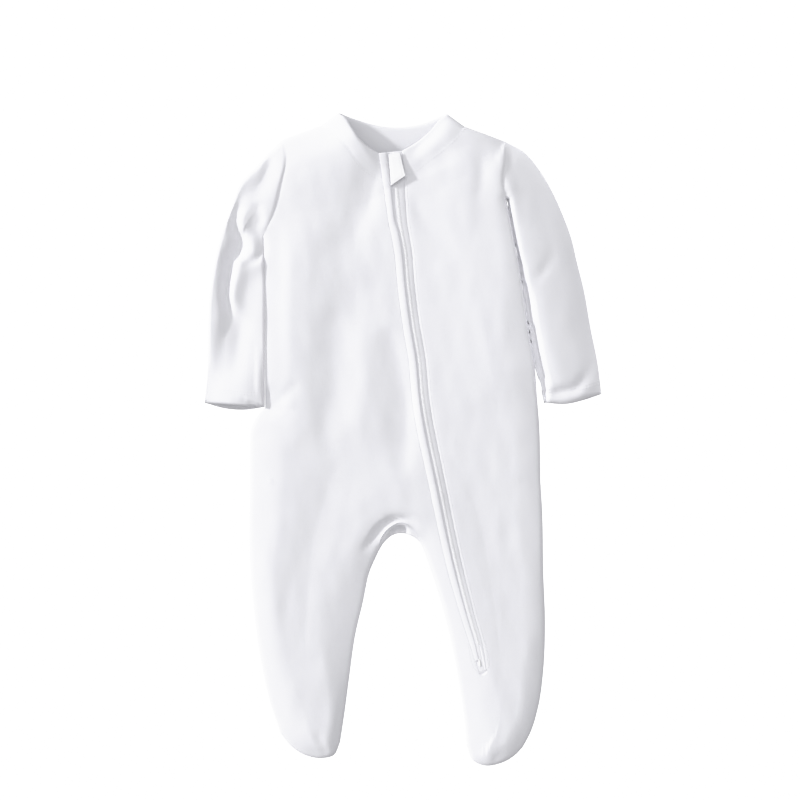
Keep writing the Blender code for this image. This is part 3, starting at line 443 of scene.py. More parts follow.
def back_panel():
    """Grids of the seat and the two legs, from the neck to the toes."""
    crotch = smooth(CROTCH)
    top_of_crotch = read(crotch, [0.5])[0]
    right_top = stations(between(RIGHT_HIP[-1], top_of_crotch), 26, UNDER_ROLLED, UNDER_ROLLED)
    left_top = stations(between(top_of_crotch, LEFT_SIDE[-1]), 26, UNDER_ROLLED, UNDER_ROLLED)
    shoulders = [stations(smooth(RIGHT_SHOULDER), 6, start=UNDER_ROLLED),
                 stations(smooth(LEFT_SHOULDER), 6, end=UNDER_ROLLED)]
    neck_cells = len(right_top) + len(left_top) - 2 - sum(len(line) - 1 for line in shoulders)
    neck = stations(smooth(BACK_NECK), neck_cells)
    left = joined(stations(smooth(RIGHT_ARMHOLE), 18, UNDER_ROLLED),
                  stations(smooth(RIGHT_SIDE), 34), stations(smooth(RIGHT_HIP), 16))
    right = joined(stations(smooth(LEFT_ARMHOLE), 12, UNDER_ROLLED),
                   stations(smooth(LEFT_SIDE), len(left) - 12 - len(UNDER_ROLLED)))
    grids = [sheet(joined(shoulders[0], neck, shoulders[1]), joined(right_top, left_top),
                   left, right)]
    for top, toe, outer, inner, flip in (
            (right_top, RIGHT_TOE, RIGHT_LEG_OUTER, RIGHT_LEG_INNER, False),
            (left_top, LEFT_TOE, LEFT_LEG_OUTER, LEFT_LEG_INNER, True)):
        half = piece_of(crotch, 0.5, 1.0 if flip else 0.0)
        inner = joined(stations(half, 9), stations(smooth(inner), 40, end=UNDER_ROLLED))
        outer = stations(smooth(outer), 49, end=UNDER_ROLLED)
        toe = stations(smooth(toe), 26, UNDER_ROLLED, UNDER_ROLLED)
        grids.append(sheet(top, toe, inner, outer) if flip else sheet(top, toe, outer, inner))
    return [np.dstack([plan, under_height(plan, BODY_EDGES)])[:, ::-1] for plan in grids]


back = cloth("back_panel", back_panel(), white_interlock, "back")


# ------------------------------------------------------------------ front panel
# One piece of the same interlock for the chest, both legs and the tops of the feet, slit for the
# zip from the neck into the wearer's left leg. It is seamed to the back and lies in soft folds.
FRONT_CROTCH = (  # right leg to left leg
    (-21, -96), (-19, -85), (-12.5, -76), (-2, -71), (8, -75.5), (14, -84.5), (18.5, -97.5))
RIGHT_NECK = ((-70.5, 269.5), (-50.5, 254), (-36, 235), (-26, 227.5))  # shoulder to low front
LEFT_NECK = (  # shoulder to low front
    (52.5, 269), (44.5, 259.5), (32.5, 248.5), (19, 238.5), (10, 231.5))
ZIP_LINE = (  # neck to end
    (-11, 246.5), (-7.5, 217), (-3.5, 182), (0, 163), (3, 131), (8, 94), (12, 71), (15.5, 34),
    (29.5, -38.5), (46.5, -116.5), (55.5, -150), (64, -179.5), (68, -199))
ZIP_WIDTHS = (      # part of its length; from the teeth to the slit's right, its left, the placket
    (0, 9, 10, 2.9), (0.13, 7.6, 7.6, 2.7), (0.15, 7, 7.5, 1), (0.3, 6.9, 6.9, 1),
    (0.55, 6.9, 7.1, 1), (0.8, 6.3, 6.4, 1), (0.95, 4.6, 5, 1), (1, 3, 3.8, 1))
BAND_FOLDS = (((-70.1, 269.8), (-56.0, 280.0)), ((52.1, 269.3), (38.0, 279.5)))
SLIT_START, SLIT_CROTCH, SLIT_BULGE = 0.049, 0.655, 1.8
FOOT_START_INNER, FOOT_START_OUTER = 0.60, 0.715
SLIT_ROLLED = (0.0, 0.3, 0.7, 1.2, 1.9, 3.0, 4.6)    # grid lines beside the slit
LOFT = 11.8                 # top of the front layer inside its rolled edges
SINK, SINK_START, SINK_REACH = 1.3, 38.0, 40.0      # how it sags further in from its edges
MEETING = 0.6               # the left sleeve's inner edge counts as nearest within this much
ARMHOLE_DIP = (0.35, 1.4, 0.5, 4.5, 0.5)    # dip along a sewn seam: depth and half width, share
NECK_DIP = (0.22, 1.1, 0.4, 3.5, 0.0)       # and half width of the wide part, unevenness
NECK_START, NECK_FADE, NECK_LEFT = 240.0, 15.0, 0.15    # it starts past the zip, slight at left
STITCH_BEATS = (2.1, 0.73)  # waves of a seam's unevenness, in radians to a step of its line
WAVES = ((11, 40.0, 0.08, 1.5), (12, 9.0, 0.012, 1.3))  # seed, size, height and lean
LEFT_SLOPE = 45.0           # width over which the left sleeve falls away to its outer edge
CUFF_SLOPE, CUFF = 40.0, ((58, 100), (1.0, 0.0))    # the same at the right cuff, and where
SLIT_CURL, SLIT_CURL_WIDTH = 0.55, 4.5  # how the cloth at the teeth's left curls down
RELIEF = ((0.66, 0.74, 0.8, 0.86, 0.94), (1.0, 0.85, 0.7, 0.45, 0.3))  # the zip sinks in the leg

# Folds of the top layer, which run on over its seams. Each row is a point that the fold runs
# through, from the neck down: x, y, height (a trough is below 0), and half width on the side of
# the wearer's left and right, which stay as they are in rows that leave them out.
FOLDS = {
    "chest": (
        (-20, 238, 0, 6, 14), (-24, 226, -1.4, 6, 16), (-28, 213, -2, 7, 17), (-31, 200, -2, 8, 17),
        (-38, 187, -1.8, 10, 17), (-46, 174, -1.2, 12, 16), (-56, 162, -0.7, 14, 14),
        (-64, 150, 0, 12, 12)),
    "flank ridge": (
        (-86, 196, 0, 24, 14), (-85, 178, 1.3, 28, 14), (-88, 160, 1.5), (-92, 137, 1.2, 26, 13),
        (-96, 110, 0.8, 24, 13), (-100, 72, 0.6, 20, 12), (-102, 40, 0)),
    "belly": (
        (-45, 142, 0, 19, 17), (-48, 124, -1), (-50, 111, -1.5, 19, 16), (-57, 98, -2.1, 17, 13),
        (-57, 85, -2.2, 17, 14), (-58, 66, -2.2, 18, 17), (-59, 47, -2.3, 19, 17),
        (-61, 34, -2.3, 18, 13), (-65, 21, -2, 16, 11), (-67, 8, -1.5, 14, 10), (-65, -5, -0.7),
        (-62, -18, 0)),
    "belly ridge": (
        (-32, 104, 0, 12, 11), (-34, 85, 0.7), (-35, 55, 1, 13, 11), (-36, 24, 1.1),
        (-32, 4, 0.5, 14, 12), (-26, -12, 0, 12, 12)),
    "beside zip": (
        (-14, 98, 0, 6, 10), (-9, 85, -1.1, 8, 12), (-3, 60, -1.7, 9, 14), (1, 34, -2.2),
        (1, 8, -2.4), (1, -13, -1.6, 9, 12), (-1, -32, 0)),
    "cuff crease": (
        (-119, 24, -1.3, 4.4, 5), (-110, 30, -1.5, 5, 5.6), (-98, 42, -0.8, 5, 5), (-88, 50, 0)),
    "hip crease": ((-128, 4, -0.8, 7.5, 6.2), (-112, 6, -0.7), (-94, 0, 0)),
    "right thigh": (
        (-56, -10, 0, 24, 12), (-60, -34, -0.6, 28, 14), (-72, -75, -0.8, 32, 14),
        (-84, -100, -0.9, 34, 13), (-95, -130, -0.9, 34, 12), (-97, -165, -0.7),
        (-95, -205, 0, 30, 12)),
    "right knee": (
        (-50, -96, 0, 30, 11), (-58, -125, -0.6, 32, 11), (-58, -160, -0.5, 30, 12),
        (-60, -205, -0.2, 26, 11), (-62, -225, 0, 24, 10)),
    "right shin ridge": ((-72, -165, 0, 8, 10), (-68, -195, 0.5), (-70, -228, 0)),
    "right toe": ((-76, -250, 0, 4, 4), (-71, -259, -0.8, 4, 3), (-66, -266, -0.6, 3, 3)),
    "left foot": ((90, -262, 0, 4, 3), (84, -269, -0.4), (79, -274, -0.7, 3, 3)),
    "right sole": ((-86, -265, 0, 3, 3), (-74, -269, -0.9), (-64, -269, 0)),
    "crotch": (
        (-36, -98, 0, 3, 5), (-28, -86, -2.6, 2.5, 5), (-19, -74.5, -3.6), (-7, -68, -3.4),
        (5, -69, -1.8, 2.5, 4), (14, -77, 0, 3, 4)),
    "crotch edge": (
        (-21, -92, 0, 2, 2.5), (-17.5, -86, 1.8), (-11.3, -77, 2.6), (-5, -73.6, 2.4),
        (1, -72.8, 1.4, 2, 2), (7, -76, 0)),
    "left chest rise": (
        (48, 250, 0, 14, 26), (53, 240, 1.2, 14, 32), (56, 222, 1.4, 14, 34),
        (54, 206, 1.1, 15, 32), (48, 190, 0.5, 16, 26), (46, 176, 0, 16, 20)),
    "left chest dip": ((66, 246, 0, 6, 5), (67, 232, -0.6), (66, 215, -0.5), (62, 202, 0)),
    "left chest ridge": ((72, 245, 0, 6.2, 6.2), (76, 228, 0.8), (75, 212, 0)),
    "left chest": (
        (8, 212, 0, 10, 6), (18, 190, -1, 12, 7), (28, 172, -0.7, 12, 9), (36, 150, 0, 10, 9)),
    "left hip": (
        (92, 60, 0, 40, 45), (94, 30, -1.6), (95, -20, -2.4), (97, -90, -2, 30, 40),
        (100, -130, -1.5, 18, 30), (102, -160, -1, 12, 22), (101, -195, 0, 10, 14)),
    "right sleeve": (
        (-113, 247, 0, 4, 3), (-114.5, 240, -1.8, 6, 3.5), (-116.5, 232, -2.4, 8, 4),
        (-120, 222.5, -2.6, 9, 5), (-127, 213.5, -2.2, 10, 8), (-137.5, 206, -2, 10, 7),
        (-141.5, 197.5, -3.4, 4, 5), (-144, 189, -4.4, 3, 5), (-143, 180, -5.6, 4, 5.5),
        (-139.5, 171.5, -6.6, 6, 7), (-141.5, 163, -7, 8, 7), (-147, 154.5, -6.8, 3.5, 6),
        (-149.3, 145, -6.6, 4, 5), (-151.2, 133, -6.6, 3.5, 4.5), (-151.7, 120, -6.2, 4, 4),
        (-149.5, 108, -5, 8, 5), (-150, 98, -4, 16, 6), (-153, 85.5, -3.8, 20, 6),
        (-155, 77, -3.6, 20, 5.5), (-157, 66, -3, 20, 5), (-158.5, 55, -1.6, 18, 4),
        (-160, 44, 0, 16, 4)),
    "right outer": (
        (-124, 236, 0, 3, 12), (-144, 190, -1, 3, 14), (-142, 164, -1.2, 3, 16),
        (-150, 120, -1, 3, 14), (-152, 92, 0, 3, 12)),
    "right elbow": (
        (-124, 204, 0, 3, 8), (-124, 197.5, -2, 3, 10), (-122.5, 189, -2.2, 3, 12),
        (-125.5, 180, -2.2, 3, 8), (-121.5, 171.5, -2.8, 3, 6), (-120, 163, -3.4, 3, 5),
        (-124, 156, -3, 3, 4), (-131, 152, -2), (-139, 150, 0)),
    "right forearm": (
        (-127, 152, 0, 16, 8), (-131, 136, -3, 14, 9), (-135, 118, -3, 15, 9),
        (-138, 92, -2.4, 16, 8), (-142, 70, -1.4, 18, 7), (-146, 52, 0, 18, 6)),
    "right cuff edge": (
        (-124, 96, 0, 3.5, 5), (-124, 78, -0.4, 3.5, 6), (-124, 36, -0.6), (-124, 26, -0.5, 3, 5)),
    "right cuff line": (
        (-123.6, 84, 0, 1.3, 1.3), (-123.6, 70, 0.9), (-123.6, 40, 0.9), (-123.6, 32, 0)),
    "right collar": (
        (-58, 281, 0, 6, 12), (-46, 270, 1.2), (-37, 257, 1.8, 6, 13), (-27, 249, 1.6),
        (-18, 246, 0.7, 5, 10), (-10, 246, 0, 4, 8)),
    "right yoke": (
        (-66, 291, 0, 7, 34), (-52, 272, 4.8, 7, 36), (-40, 256, 5.2), (-29, 241, 3.4, 7, 34),
        (-19, 227, 1.4, 8, 30), (-11, 216, 0, 8, 26)),
    "left collar": (
        (4, 240, 0, 12, 6), (12, 252, -2.4, 14, 6), (23, 263, -3.2, 15, 6), (33, 275, -2.4, 14, 6),
        (39, 281, 0, 12, 6)),
    "right armhole": (
        (-101, 258, 0, 10, 1.2), (-99.5, 243, -0.7, 12, 1.2), (-105, 216.5, -0.9),
        (-111.5, 191.5, -0.7, 10, 1.2), (-118, 178, 0, 8, 1.2)),
    "left armhole": (
        (89, 256, 0, 5, 1.2), (88.5, 241, -1), (86.5, 226, -1), (87, 215, -0.8), (90, 206, 0)),
    "left armhole ridge": (
        (85, 261, 0, 5, 12), (86, 253, 6.5), (86, 243, 4.6), (84.5, 228, 2.4, 7, 11),
        (84, 214, 1.2, 14, 10), (87, 198, 0, 10, 8)),
    "left slope": (
        (96, 254, -1.2, 10, 10), (107, 240, -2.6, 12, 15), (119, 212, -2.8, 15, 16),
        (126, 184, -2.2, 17, 13), (133, 146, -1.3, 18, 14), (142, 106, 0)),
    "left inner ridge": (
        (88, 226, 0, 3, 3), (93, 212, 1, 3.5, 3), (98, 184, 0.7, 4, 3), (105, 146, 0.5),
        (114, 104, 0.4, 6, 3), (122, 60, 0, 7, 3)),
    "left elbow": ((110, 133, 0, 5, 4), (117, 140, -0.8), (126, 153, -0.8, 5, 5), (132, 166, 0)),
    "left hem": (
        (124, 38, 0, 4, 4), (130, 40, -2.4), (148, 44, -2.8, 4.5, 4), (158, 56, -2.4, 4.5, 4.5),
        (165, 70, 0, 4, 4)),
    "left hem ridge": (
        (136, 33, 0, 3, 3), (150, 37, 1.3, 3.5, 3), (163, 48, 1), (168, 58, 0, 3, 3)),
}


def unit(vectors):
    """Vectors of the same headings and of length 1."""
    return vectors / np.linalg.norm(vectors, axis=-1, keepdims=True)


def left_of(heading):
    """Headings turned a quarter to their left in the plan."""
    return np.stack([-heading[..., 1], heading[..., 0]], axis=-1)


def moved(line, distance):
    """A line moved sideways in the plan, to its left where the distance is above 0."""
    return line + distance * left_of(unit(np.gradient(line, axis=0)))


def zip_widths(stops):
    """Distance from the teeth to the slit's right and left edges and to the placket's edge."""
    parts, *widths = zip(*ZIP_WIDTHS)
    return [np.interp(stops, parts, width) for width in widths]


ZIP_TEETH = smooth(ZIP_LINE, 300)
TO_RIGHT, TO_LEFT, _TO_PLACKET = zip_widths(parts_of(ZIP_TEETH))
SLIT_RIGHT = moved(ZIP_TEETH, -TO_RIGHT[:, None])
SLIT_LEFT = moved(ZIP_TEETH, TO_LEFT[:, None])
SLIT_TOPS = [read(line, [SLIT_START])[0] for line in (SLIT_RIGHT, SLIT_LEFT)]
RIGHT_NECK_SEAM = smooth([*RIGHT_NECK, SLIT_TOPS[0]])
LEFT_NECK_SEAM = smooth([*LEFT_NECK, SLIT_TOPS[1]])
LEFT_SIDE_ROLLS = ((0.7, 1.8, 10), (0.75, 1.7, 12), (0.7, 1.7, 16), (0.6, 1.8, 22), (0.5, 1.9, 28),
                   (0.5, 1.9, 32), (0.3, 2.6, 28), (0.25, 3, 24), (0.25, 3, 24))
RIGHT_LEG_ROLLS = ((0.28, 3.5, 30), (0.28, 3.5, 28), (0.3, 3.5, 22), (0.3, 3.5, 22),
                   (0.25, 3.5, 24), (0.18, 3, 26), (0.15, 3, 28))
RIGHT_LEG_INNER_ROLLS = ((0.42, 4.2, 25), (0.35, 4, 28), (0.25, 3.5, 34), (0.22, 3.5, 33),
                         (0.3, 3, 20), (0.35, 3, 14), (0.35, 3, 14))
LEFT_LEG_ROLLS = ((0.25, 3, 24), (0.3, 3, 24)) + ((0.35, 3, 20),) * 3 + ((0.35, 3, 18),) * 3
RIGHT_TOE_ROLLS = ((0.15, 3, 28), (0.2, 3, 24), (0.25, 3, 20), (0.3, 3, 16), (0.35, 3, 14),
                   (0.35, 3, 14))
LEFT_TOE_ROLLS = ((0.2, 3, 32), (0.22, 3, 27), (0.28, 3, 20), (0.33, 3, 16), (0.35, 3, 16),
                  (0.35, 3, 18))
EDGE_ROLLS = (              # edge; share of the drop that is steep, steep width, gentle width
    (RIGHT_SHOULDER, (0.42, 4.2, 27)), (LEFT_SHOULDER, (0.42, 4.2, 27)),
    (RIGHT_SIDE, (0.3, 1.6, 24)), (RIGHT_HIP, (0.28, 3.5, 30)), (LEFT_SIDE, LEFT_SIDE_ROLLS),
    (RIGHT_LEG_OUTER, RIGHT_LEG_ROLLS), (RIGHT_LEG_INNER, RIGHT_LEG_INNER_ROLLS),
    (RIGHT_TOE, RIGHT_TOE_ROLLS), (LEFT_LEG_OUTER, LEFT_LEG_ROLLS),
    (LEFT_LEG_INNER, ((0.42, 4.2, 25),) * 3 + ((0.3, 3.5, 28), (0.22, 3, 32))
     + ((0.2, 3, 32),) * 2),
    (LEFT_TOE, LEFT_TOE_ROLLS), (CROTCH, (0.42, 4.2, 25)),
    (RIGHT_SLEEVE_OUTER, ((0.42, 4.2, 27), (0.5, 4, 26), (0.7, 3, 24), (0.9, 2.2, 24))
     + ((1.0, 1.7, 24),) * 4 + ((0.9, 2, 22), (0.6, 3, 18), (0.6, 2.5, 14))),
    (RIGHT_SLEEVE_INNER, (0.8, 2, 11)), (LEFT_SLEEVE_OUTER, (1.0, 0.01, 1)),
    (LEFT_SLEEVE_INNER, (0.85, 2.2, 14)),
    (BAND_FOLDS[0], (0.42, 4.2, 27)), (BAND_FOLDS[1], (0.42, 4.2, 27)),
)


def with_rolls(edge, rolls):
    """Fine line of an edge, with how the cloth rolls over it as further columns."""
    return smooth(np.hstack([edge, np.broadcast_to(rolls, (len(edge), 3))]), 90)


FOLDED_EDGES = [with_rolls(*row) for row in EDGE_ROLLS]
ROLLS = np.concatenate([line[:-1, 2:] for line in FOLDED_EDGES])
ARMHOLE_SEAMS = [smooth(seam, 60) for seam in (RIGHT_ARMHOLE, LEFT_ARMHOLE)]
NECK_SEAMS = [RIGHT_NECK_SEAM[::3], LEFT_NECK_SEAM[::3]]


def fold_heights(plan):
    """Sum of all folds: each is its height times exp(-(distance / half width) squared)."""
    total = np.zeros(plan.shape[:2])
    for rows in FOLDS.values():
        full = []
        for row in rows:
            full.append(row if len(row) == 5 else (*row, *full[-1][3:]))
        route = smooth(full, 48)
        reach, along, side = nearest_on(plan, [route])
        _x, _y, height, left, right = (np.interp(along, np.arange(len(route)), column)
                                       for column in route.T)
        half_width = right + (left - right) * (0.5 + 0.5 * side)
        total += height * np.exp(-(reach / half_width)**2)
    return total


def ease(part):
    """1.5 p - 0.5 p^3: from 0 it rises to 1, where it is level."""
    return 1.5 * part - 0.5 * part**3


def sewn_dip(plan, seams, depth, narrow, share, wide, uneven):
    """Dip along sewn seams: depth (exp(-(d / narrow)^2) + share exp(-(d / wide)^2)), the wide
    part uneven as the stitches pull it."""
    reach, along, _side = nearest_on(plan, seams)
    fast, slow = STITCH_BEATS
    pull = 1.0 + uneven * np.sin(along * fast) * np.sin(along * slow + 1.0)
    return depth * (np.exp(-(reach / narrow)**2) + share * pull * np.exp(-(reach / wide)**2))


def top_height(plan):
    """Height of the layer that shows: rim + roll (loft - sag + folds - seams' dips + ripples).
    The roll is 0 at a folded edge and 1 inside it, a steep quarter ellipse and a gentle rise
    each with its share. It starts late beside the crevice at the left sleeve, and falls away
    towards the outer edges of the left sleeve and the right cuff."""
    reach, along, _side = nearest_on(plan, FOLDED_EDGES)
    share, steep, wide = np.moveaxis(ROLLS[np.minimum(along.astype(int), len(ROLLS) - 1)], -1, 0)
    inner, _along, side = nearest_on(plan, [smooth(LEFT_SLEEVE_INNER, 90)])
    crevice = np.interp(plan[..., 1], *CREVICE)
    crevice = np.where((side > 0) & (inner < reach + MEETING), crevice, 0.0)
    reach = np.maximum(reach - crevice, 0.0)
    roll = (share * quarter_round(reach, steep)
            + (1.0 - share) * ease(np.clip(reach / wide, 0.0, 1.0)))
    for outer, width, share in ((LEFT_SLEEVE_OUTER, LEFT_SLOPE, 1.0),
                                (RIGHT_SLEEVE_OUTER, CUFF_SLOPE, np.interp(plan[..., 1], *CUFF))):
        slope = np.clip(nearest_on(plan, [smooth(outer, 90)])[0] / width, 0.0, 1.0)
        roll *= 1.0 - share * (1.0 - ease(slope))
    rim = rim_height(plan)
    settle = SINK * np.clip((reach - SINK_START) / SINK_REACH, 0.0, 1.0)
    shoulder = np.clip((plan[..., 1] - NECK_START) / NECK_FADE, 0.0, 1.0)
    shoulder *= np.where(plan[..., 0] < 0, 1.0, NECK_LEFT)
    dip = (sewn_dip(plan, ARMHOLE_SEAMS, *ARMHOLE_DIP)
           + shoulder * sewn_dip(plan, NECK_SEAMS, *NECK_DIP))
    waves = sum(ripples(plan, *wave) for wave in WAVES)
    return rim + roll * (LOFT - rim - settle + fold_heights(plan) - dip + waves)


def front_height(plan):
    """The top layer with its left edge along the slit curled down to the tape."""
    line = SLIT_LEFT[::4]
    reach, along, _side = nearest_on(plan, [line])
    curl = SLIT_CURL * np.interp(along / (len(line) - 1), *RELIEF)
    return top_height(plan) - curl * np.clip(1.0 - reach / SLIT_CURL_WIDTH, 0.0, 1.0)**2


def front_panel():
    """Grids of the trunk up to the slit, the right leg, and the left leg round the slit."""
    crotch_seam = smooth(FRONT_CROTCH)
    crotch = read(crotch_seam, [0.5])[0]
    slit_above = piece_of(SLIT_RIGHT, SLIT_START, SLIT_CROTCH)
    slit_below = piece_of(SLIT_RIGHT, SLIT_CROTCH, 1.0)
    slit_outer = piece_of(SLIT_LEFT, SLIT_START, 1.0)

    leg_top = stations(between(RIGHT_HIP[-1], crotch), 46, ROLLED, ROLLED)
    thigh_top = stations(between(crotch, slit_above[-1]), 14, ROLLED, SLIT_ROLLED)
    shoulder = stations(smooth(RIGHT_SHOULDER), 10, ROLLED)
    neck_cells = len(leg_top) + len(thigh_top) - len(shoulder) - len(SLIT_ROLLED)
    side = joined(stations(smooth(RIGHT_ARMHOLE), 34, ROLLED), stations(smooth(RIGHT_SIDE), 66),
                  stations(smooth(RIGHT_HIP), 28))
    grids = [sheet(joined(shoulder, stations(RIGHT_NECK_SEAM, neck_cells, end=SLIT_ROLLED)),
                   joined(leg_top, thigh_top), side, stations(slit_above, 128, ROLLED))]

    grids.append(sheet(leg_top, stations(smooth(RIGHT_TOE), 46, ROLLED, ROLLED),
                       stations(smooth(RIGHT_LEG_OUTER), 84, end=ROLLED),
                       joined(stations(piece_of(crotch_seam, 0.5, 0.0), 14),
                              stations(smooth(RIGHT_LEG_INNER), 70, end=ROLLED))))

    leg_inner, leg_outer = smooth(LEFT_LEG_INNER), smooth(LEFT_LEG_OUTER)
    inner = stations(piece_of(leg_inner, 0.0, FOOT_START_INNER), 46)
    foot_inner = stations(between(inner[-1], slit_below[-1]), 14, ROLLED, SLIT_ROLLED)
    grids.append(sheet(thigh_top, foot_inner,
                       joined(stations(piece_of(crotch_seam, 0.5, 1.0), 14), inner),
                       stations(slit_below, 60)))

    foot_outer = stations(between(slit_outer[-1], piece_of(leg_outer, 0.0, FOOT_START_OUTER)[-1]),
                          38, SLIT_ROLLED, ROLLED)
    grids.append(sheet(joined(stations(LEFT_NECK_SEAM[::-1], 26, SLIT_ROLLED),
                              stations(smooth(LEFT_SHOULDER), 12, end=ROLLED)),
                       foot_outer, stations(slit_outer, 203, ROLLED),
                       joined(stations(smooth(LEFT_ARMHOLE), 18, ROLLED),
                              stations(smooth(LEFT_SIDE), 110),
                              stations(piece_of(leg_outer, 0.0, FOOT_START_OUTER), 75))))

    slit_end = stations(between(slit_below[-1], slit_outer[-1]), 6)
    slit_end[:, 1] -= SLIT_BULGE * np.sin(np.linspace(0.0, np.pi, 7))
    top = joined(foot_inner, slit_end, foot_outer)
    toe = stations(smooth(LEFT_TOE), len(top) + 1 - 2 * len(ROLLED), ROLLED, ROLLED)
    feet = [stations(piece_of(leg, start, 1.0), 25, end=ROLLED) for leg, start in (
        (leg_inner, FOOT_START_INNER), (leg_outer, FOOT_START_OUTER))]
    grids.append(sheet(top, toe, *feet))
    return [np.dstack([plan, front_height(plan)]) for plan in grids]


front = cloth("front_panel", front_panel(), white_interlock, "front")


# ------------------------------------------------------------------ gusset
# A narrow strip of the same interlock, sewn under the front's edge at the crotch and folded
# under to the back.
GUSSET_ROWS = (1, 0.9, 0.82, 0.76, 0.7, 0.64, 0.58, 0.52, 0.42, 0.3, 0.2, 0.12, 0.05, 0.012, 0)
GUSSET_TUCK, GUSSET_DROP, GUSSET_CURL = 1.2, 1.4, 2.0   # in under the front's edge, below it, fold
GUSSET_WALL = 0.8
HOLLOW, HOLLOW_X, HOLLOW_WIDTH = 3.6, -3.5, 7.0         # it sags in the middle of the crotch
HOLLOW_START, HOLLOW_FADE = 0.8, 0.3


def gusset_strip():
    """Grid from just under the front's edge down to the fold of the crotch, below the front by
    drop (1 - exp(-(distance to the fold / curl)^2)) and hollowed in the middle."""
    stops = np.linspace(0.02, 0.98, 48)
    upper = moved(read(smooth(FRONT_CROTCH), stops), GUSSET_TUCK)
    lower = read(smooth(CROTCH), stops)
    across = 1.0 - np.array(GUSSET_ROWS)[:, None]
    plan = upper[None] + across[..., None] * (lower - upper)[None]
    from_fold = nearest_on(plan, [lower])[0]
    height = top_height(plan) - GUSSET_DROP * (1.0 - np.exp(-(from_fold / GUSSET_CURL)**2))
    height -= (HOLLOW * np.clip(across / HOLLOW_FADE - HOLLOW_START, 0.0, 1.0) * (1.0 - across**6)
               * np.exp(-((plan[..., 0] - HOLLOW_X) / HOLLOW_WIDTH)**4))
    return np.dstack([plan, height])


gusset = cloth("crotch_gusset", [gusset_strip()], white_interlock, "gusset", GUSSET_WALL)


# ------------------------------------------------------------------ sleeves
# Two tubes of interlock with turned hems, set into the armholes. They lie beside the body, the
# right one rumpled at its elbow.
RIGHT_HEM = ((-170.5, 31.5), (-153, 30.5), (-136, 29), (-118.7, 28))  # outer to inner
RIGHT_HEM_UNDER = ((-170.5, 31.5), (-152, 26.5), (-136.5, 25.5), (-118.7, 28))  # outer to inner
LEFT_HEM = ((122, 31.5), (139.5, 30.5), (155.5, 34), (170.5, 39))  # inner to outer
SLEEVE_EDGE_WIDTH = 36.0    # a sleeve narrower than this has its rolled grid lines drawn in
HEM_CURL, HEM_CURL_ROWS = 0.5, 1.5      # how its hem curls down, over how many rows of its grid


def rungs(left, right, last_row, cells, steps):
    """Grid of straight rows between two edges, fine at both ends; the last row has its own line."""
    length = np.linalg.norm(right - left, axis=1)[:, None]
    near = np.array(steps) * np.minimum(1.0, length / SLEEVE_EDGE_WIDTH)
    middle = near[:, -1:] + (length - 2.0 * near[:, -1:]) * np.linspace(0, 1, cells + 1)[1:-1]
    part = np.hstack([near, middle, length - near[:, ::-1]]) / np.maximum(length, 1e-6)
    grid = left[:, None] + part[..., None] * (right - left)[:, None]
    grid[-1] = read(last_row, part[-1])
    return grid


def sleeve(armhole, inner, outer, hem, hem_under):
    """Grids of a sleeve's two layers, from the armhole and the inner fold to the outer fold."""
    side = joined(stations(smooth(armhole), 34, ROLLED), stations(smooth(inner), 66))
    side[0] = outer[0]
    outer = smooth(outer)
    edges = [side, read(outer, parts_of(side))]
    edges.sort(key=lambda edge: edge[-1, 0])
    top = rungs(*edges, smooth(hem), 14, ROLLED)
    under = rungs(*edges, smooth(hem_under), 10, UNDER_ROLLED)
    curled = np.clip(1.0 - np.arange(len(top))[::-1, None] / HEM_CURL_ROWS, 0.0, 1.0)
    return [np.dstack([top, top_height(top) - HEM_CURL * curled]),
            np.dstack([under, under_height(under, FOLDED_EDGES)])[:, ::-1]]


right_cloth = interlock("white cotton interlock, right sleeve", COTTON_WHITE, turn=-0.22)
left_cloth = interlock("white cotton interlock, left sleeve", COTTON_WHITE, turn=0.28)
right_sleeve = cloth("right_sleeve", sleeve(
    RIGHT_ARMHOLE, RIGHT_SLEEVE_INNER, RIGHT_SLEEVE_OUTER, RIGHT_HEM, RIGHT_HEM_UNDER),
    right_cloth, "sleeve_right")
left_sleeve = cloth("left_sleeve", sleeve(
    LEFT_ARMHOLE, LEFT_SLEEVE_INNER, LEFT_SLEEVE_OUTER, LEFT_HEM, LEFT_HEM),
    left_cloth, "sleeve_left")


# ------------------------------------------------------------------ neckband
# A doubled strip of interlock round the neck, with its fold at the free edge. It opens at the zip
# and turns over at each shoulder, so that its inner side shows at the back.
BAND_RIGHT_FREE = (  # zip to fold
    (-19.7, 245), (-27.5, 249), (-37, 257), (-44.5, 268), (-50.5, 277), (-56, 280))
BAND_BACK_FREE = (  # right fold to left fold
    (-56, 280), (-50.5, 277.7), (-37, 273), (-17, 268), (1, 267.5), (19, 271), (32, 276.5),
    (38, 279.5))
BAND_LEFT_FREE = ((38, 279.5), (32.5, 275.5), (23, 264.5), (11, 254.5), (-1, 247.5))  # fold to zip
BAND_COLUMNS = (0.0, 0.006, 0.02, 0.045, 0.09, 0.15, 0.24, 0.34, 0.45, 0.56, 0.67, 0.77, 0.86,
                0.92, 0.96, 0.985, 0.996, 1.0)
BAND_WALL, BAND_LAP = 1.4, 7.0    # its thickness, and how far it laps the back panel inside
BAND_PAD, BAND_PAD_WIDTH, BAND_ROUND = 0.25, 4.0, 1.8       # padding, and rounding at the free edge
BAND_PUCKER, BAND_PUCKERS, BAND_PUCKER_WIDTH = 0.03, 110.0, 3.0


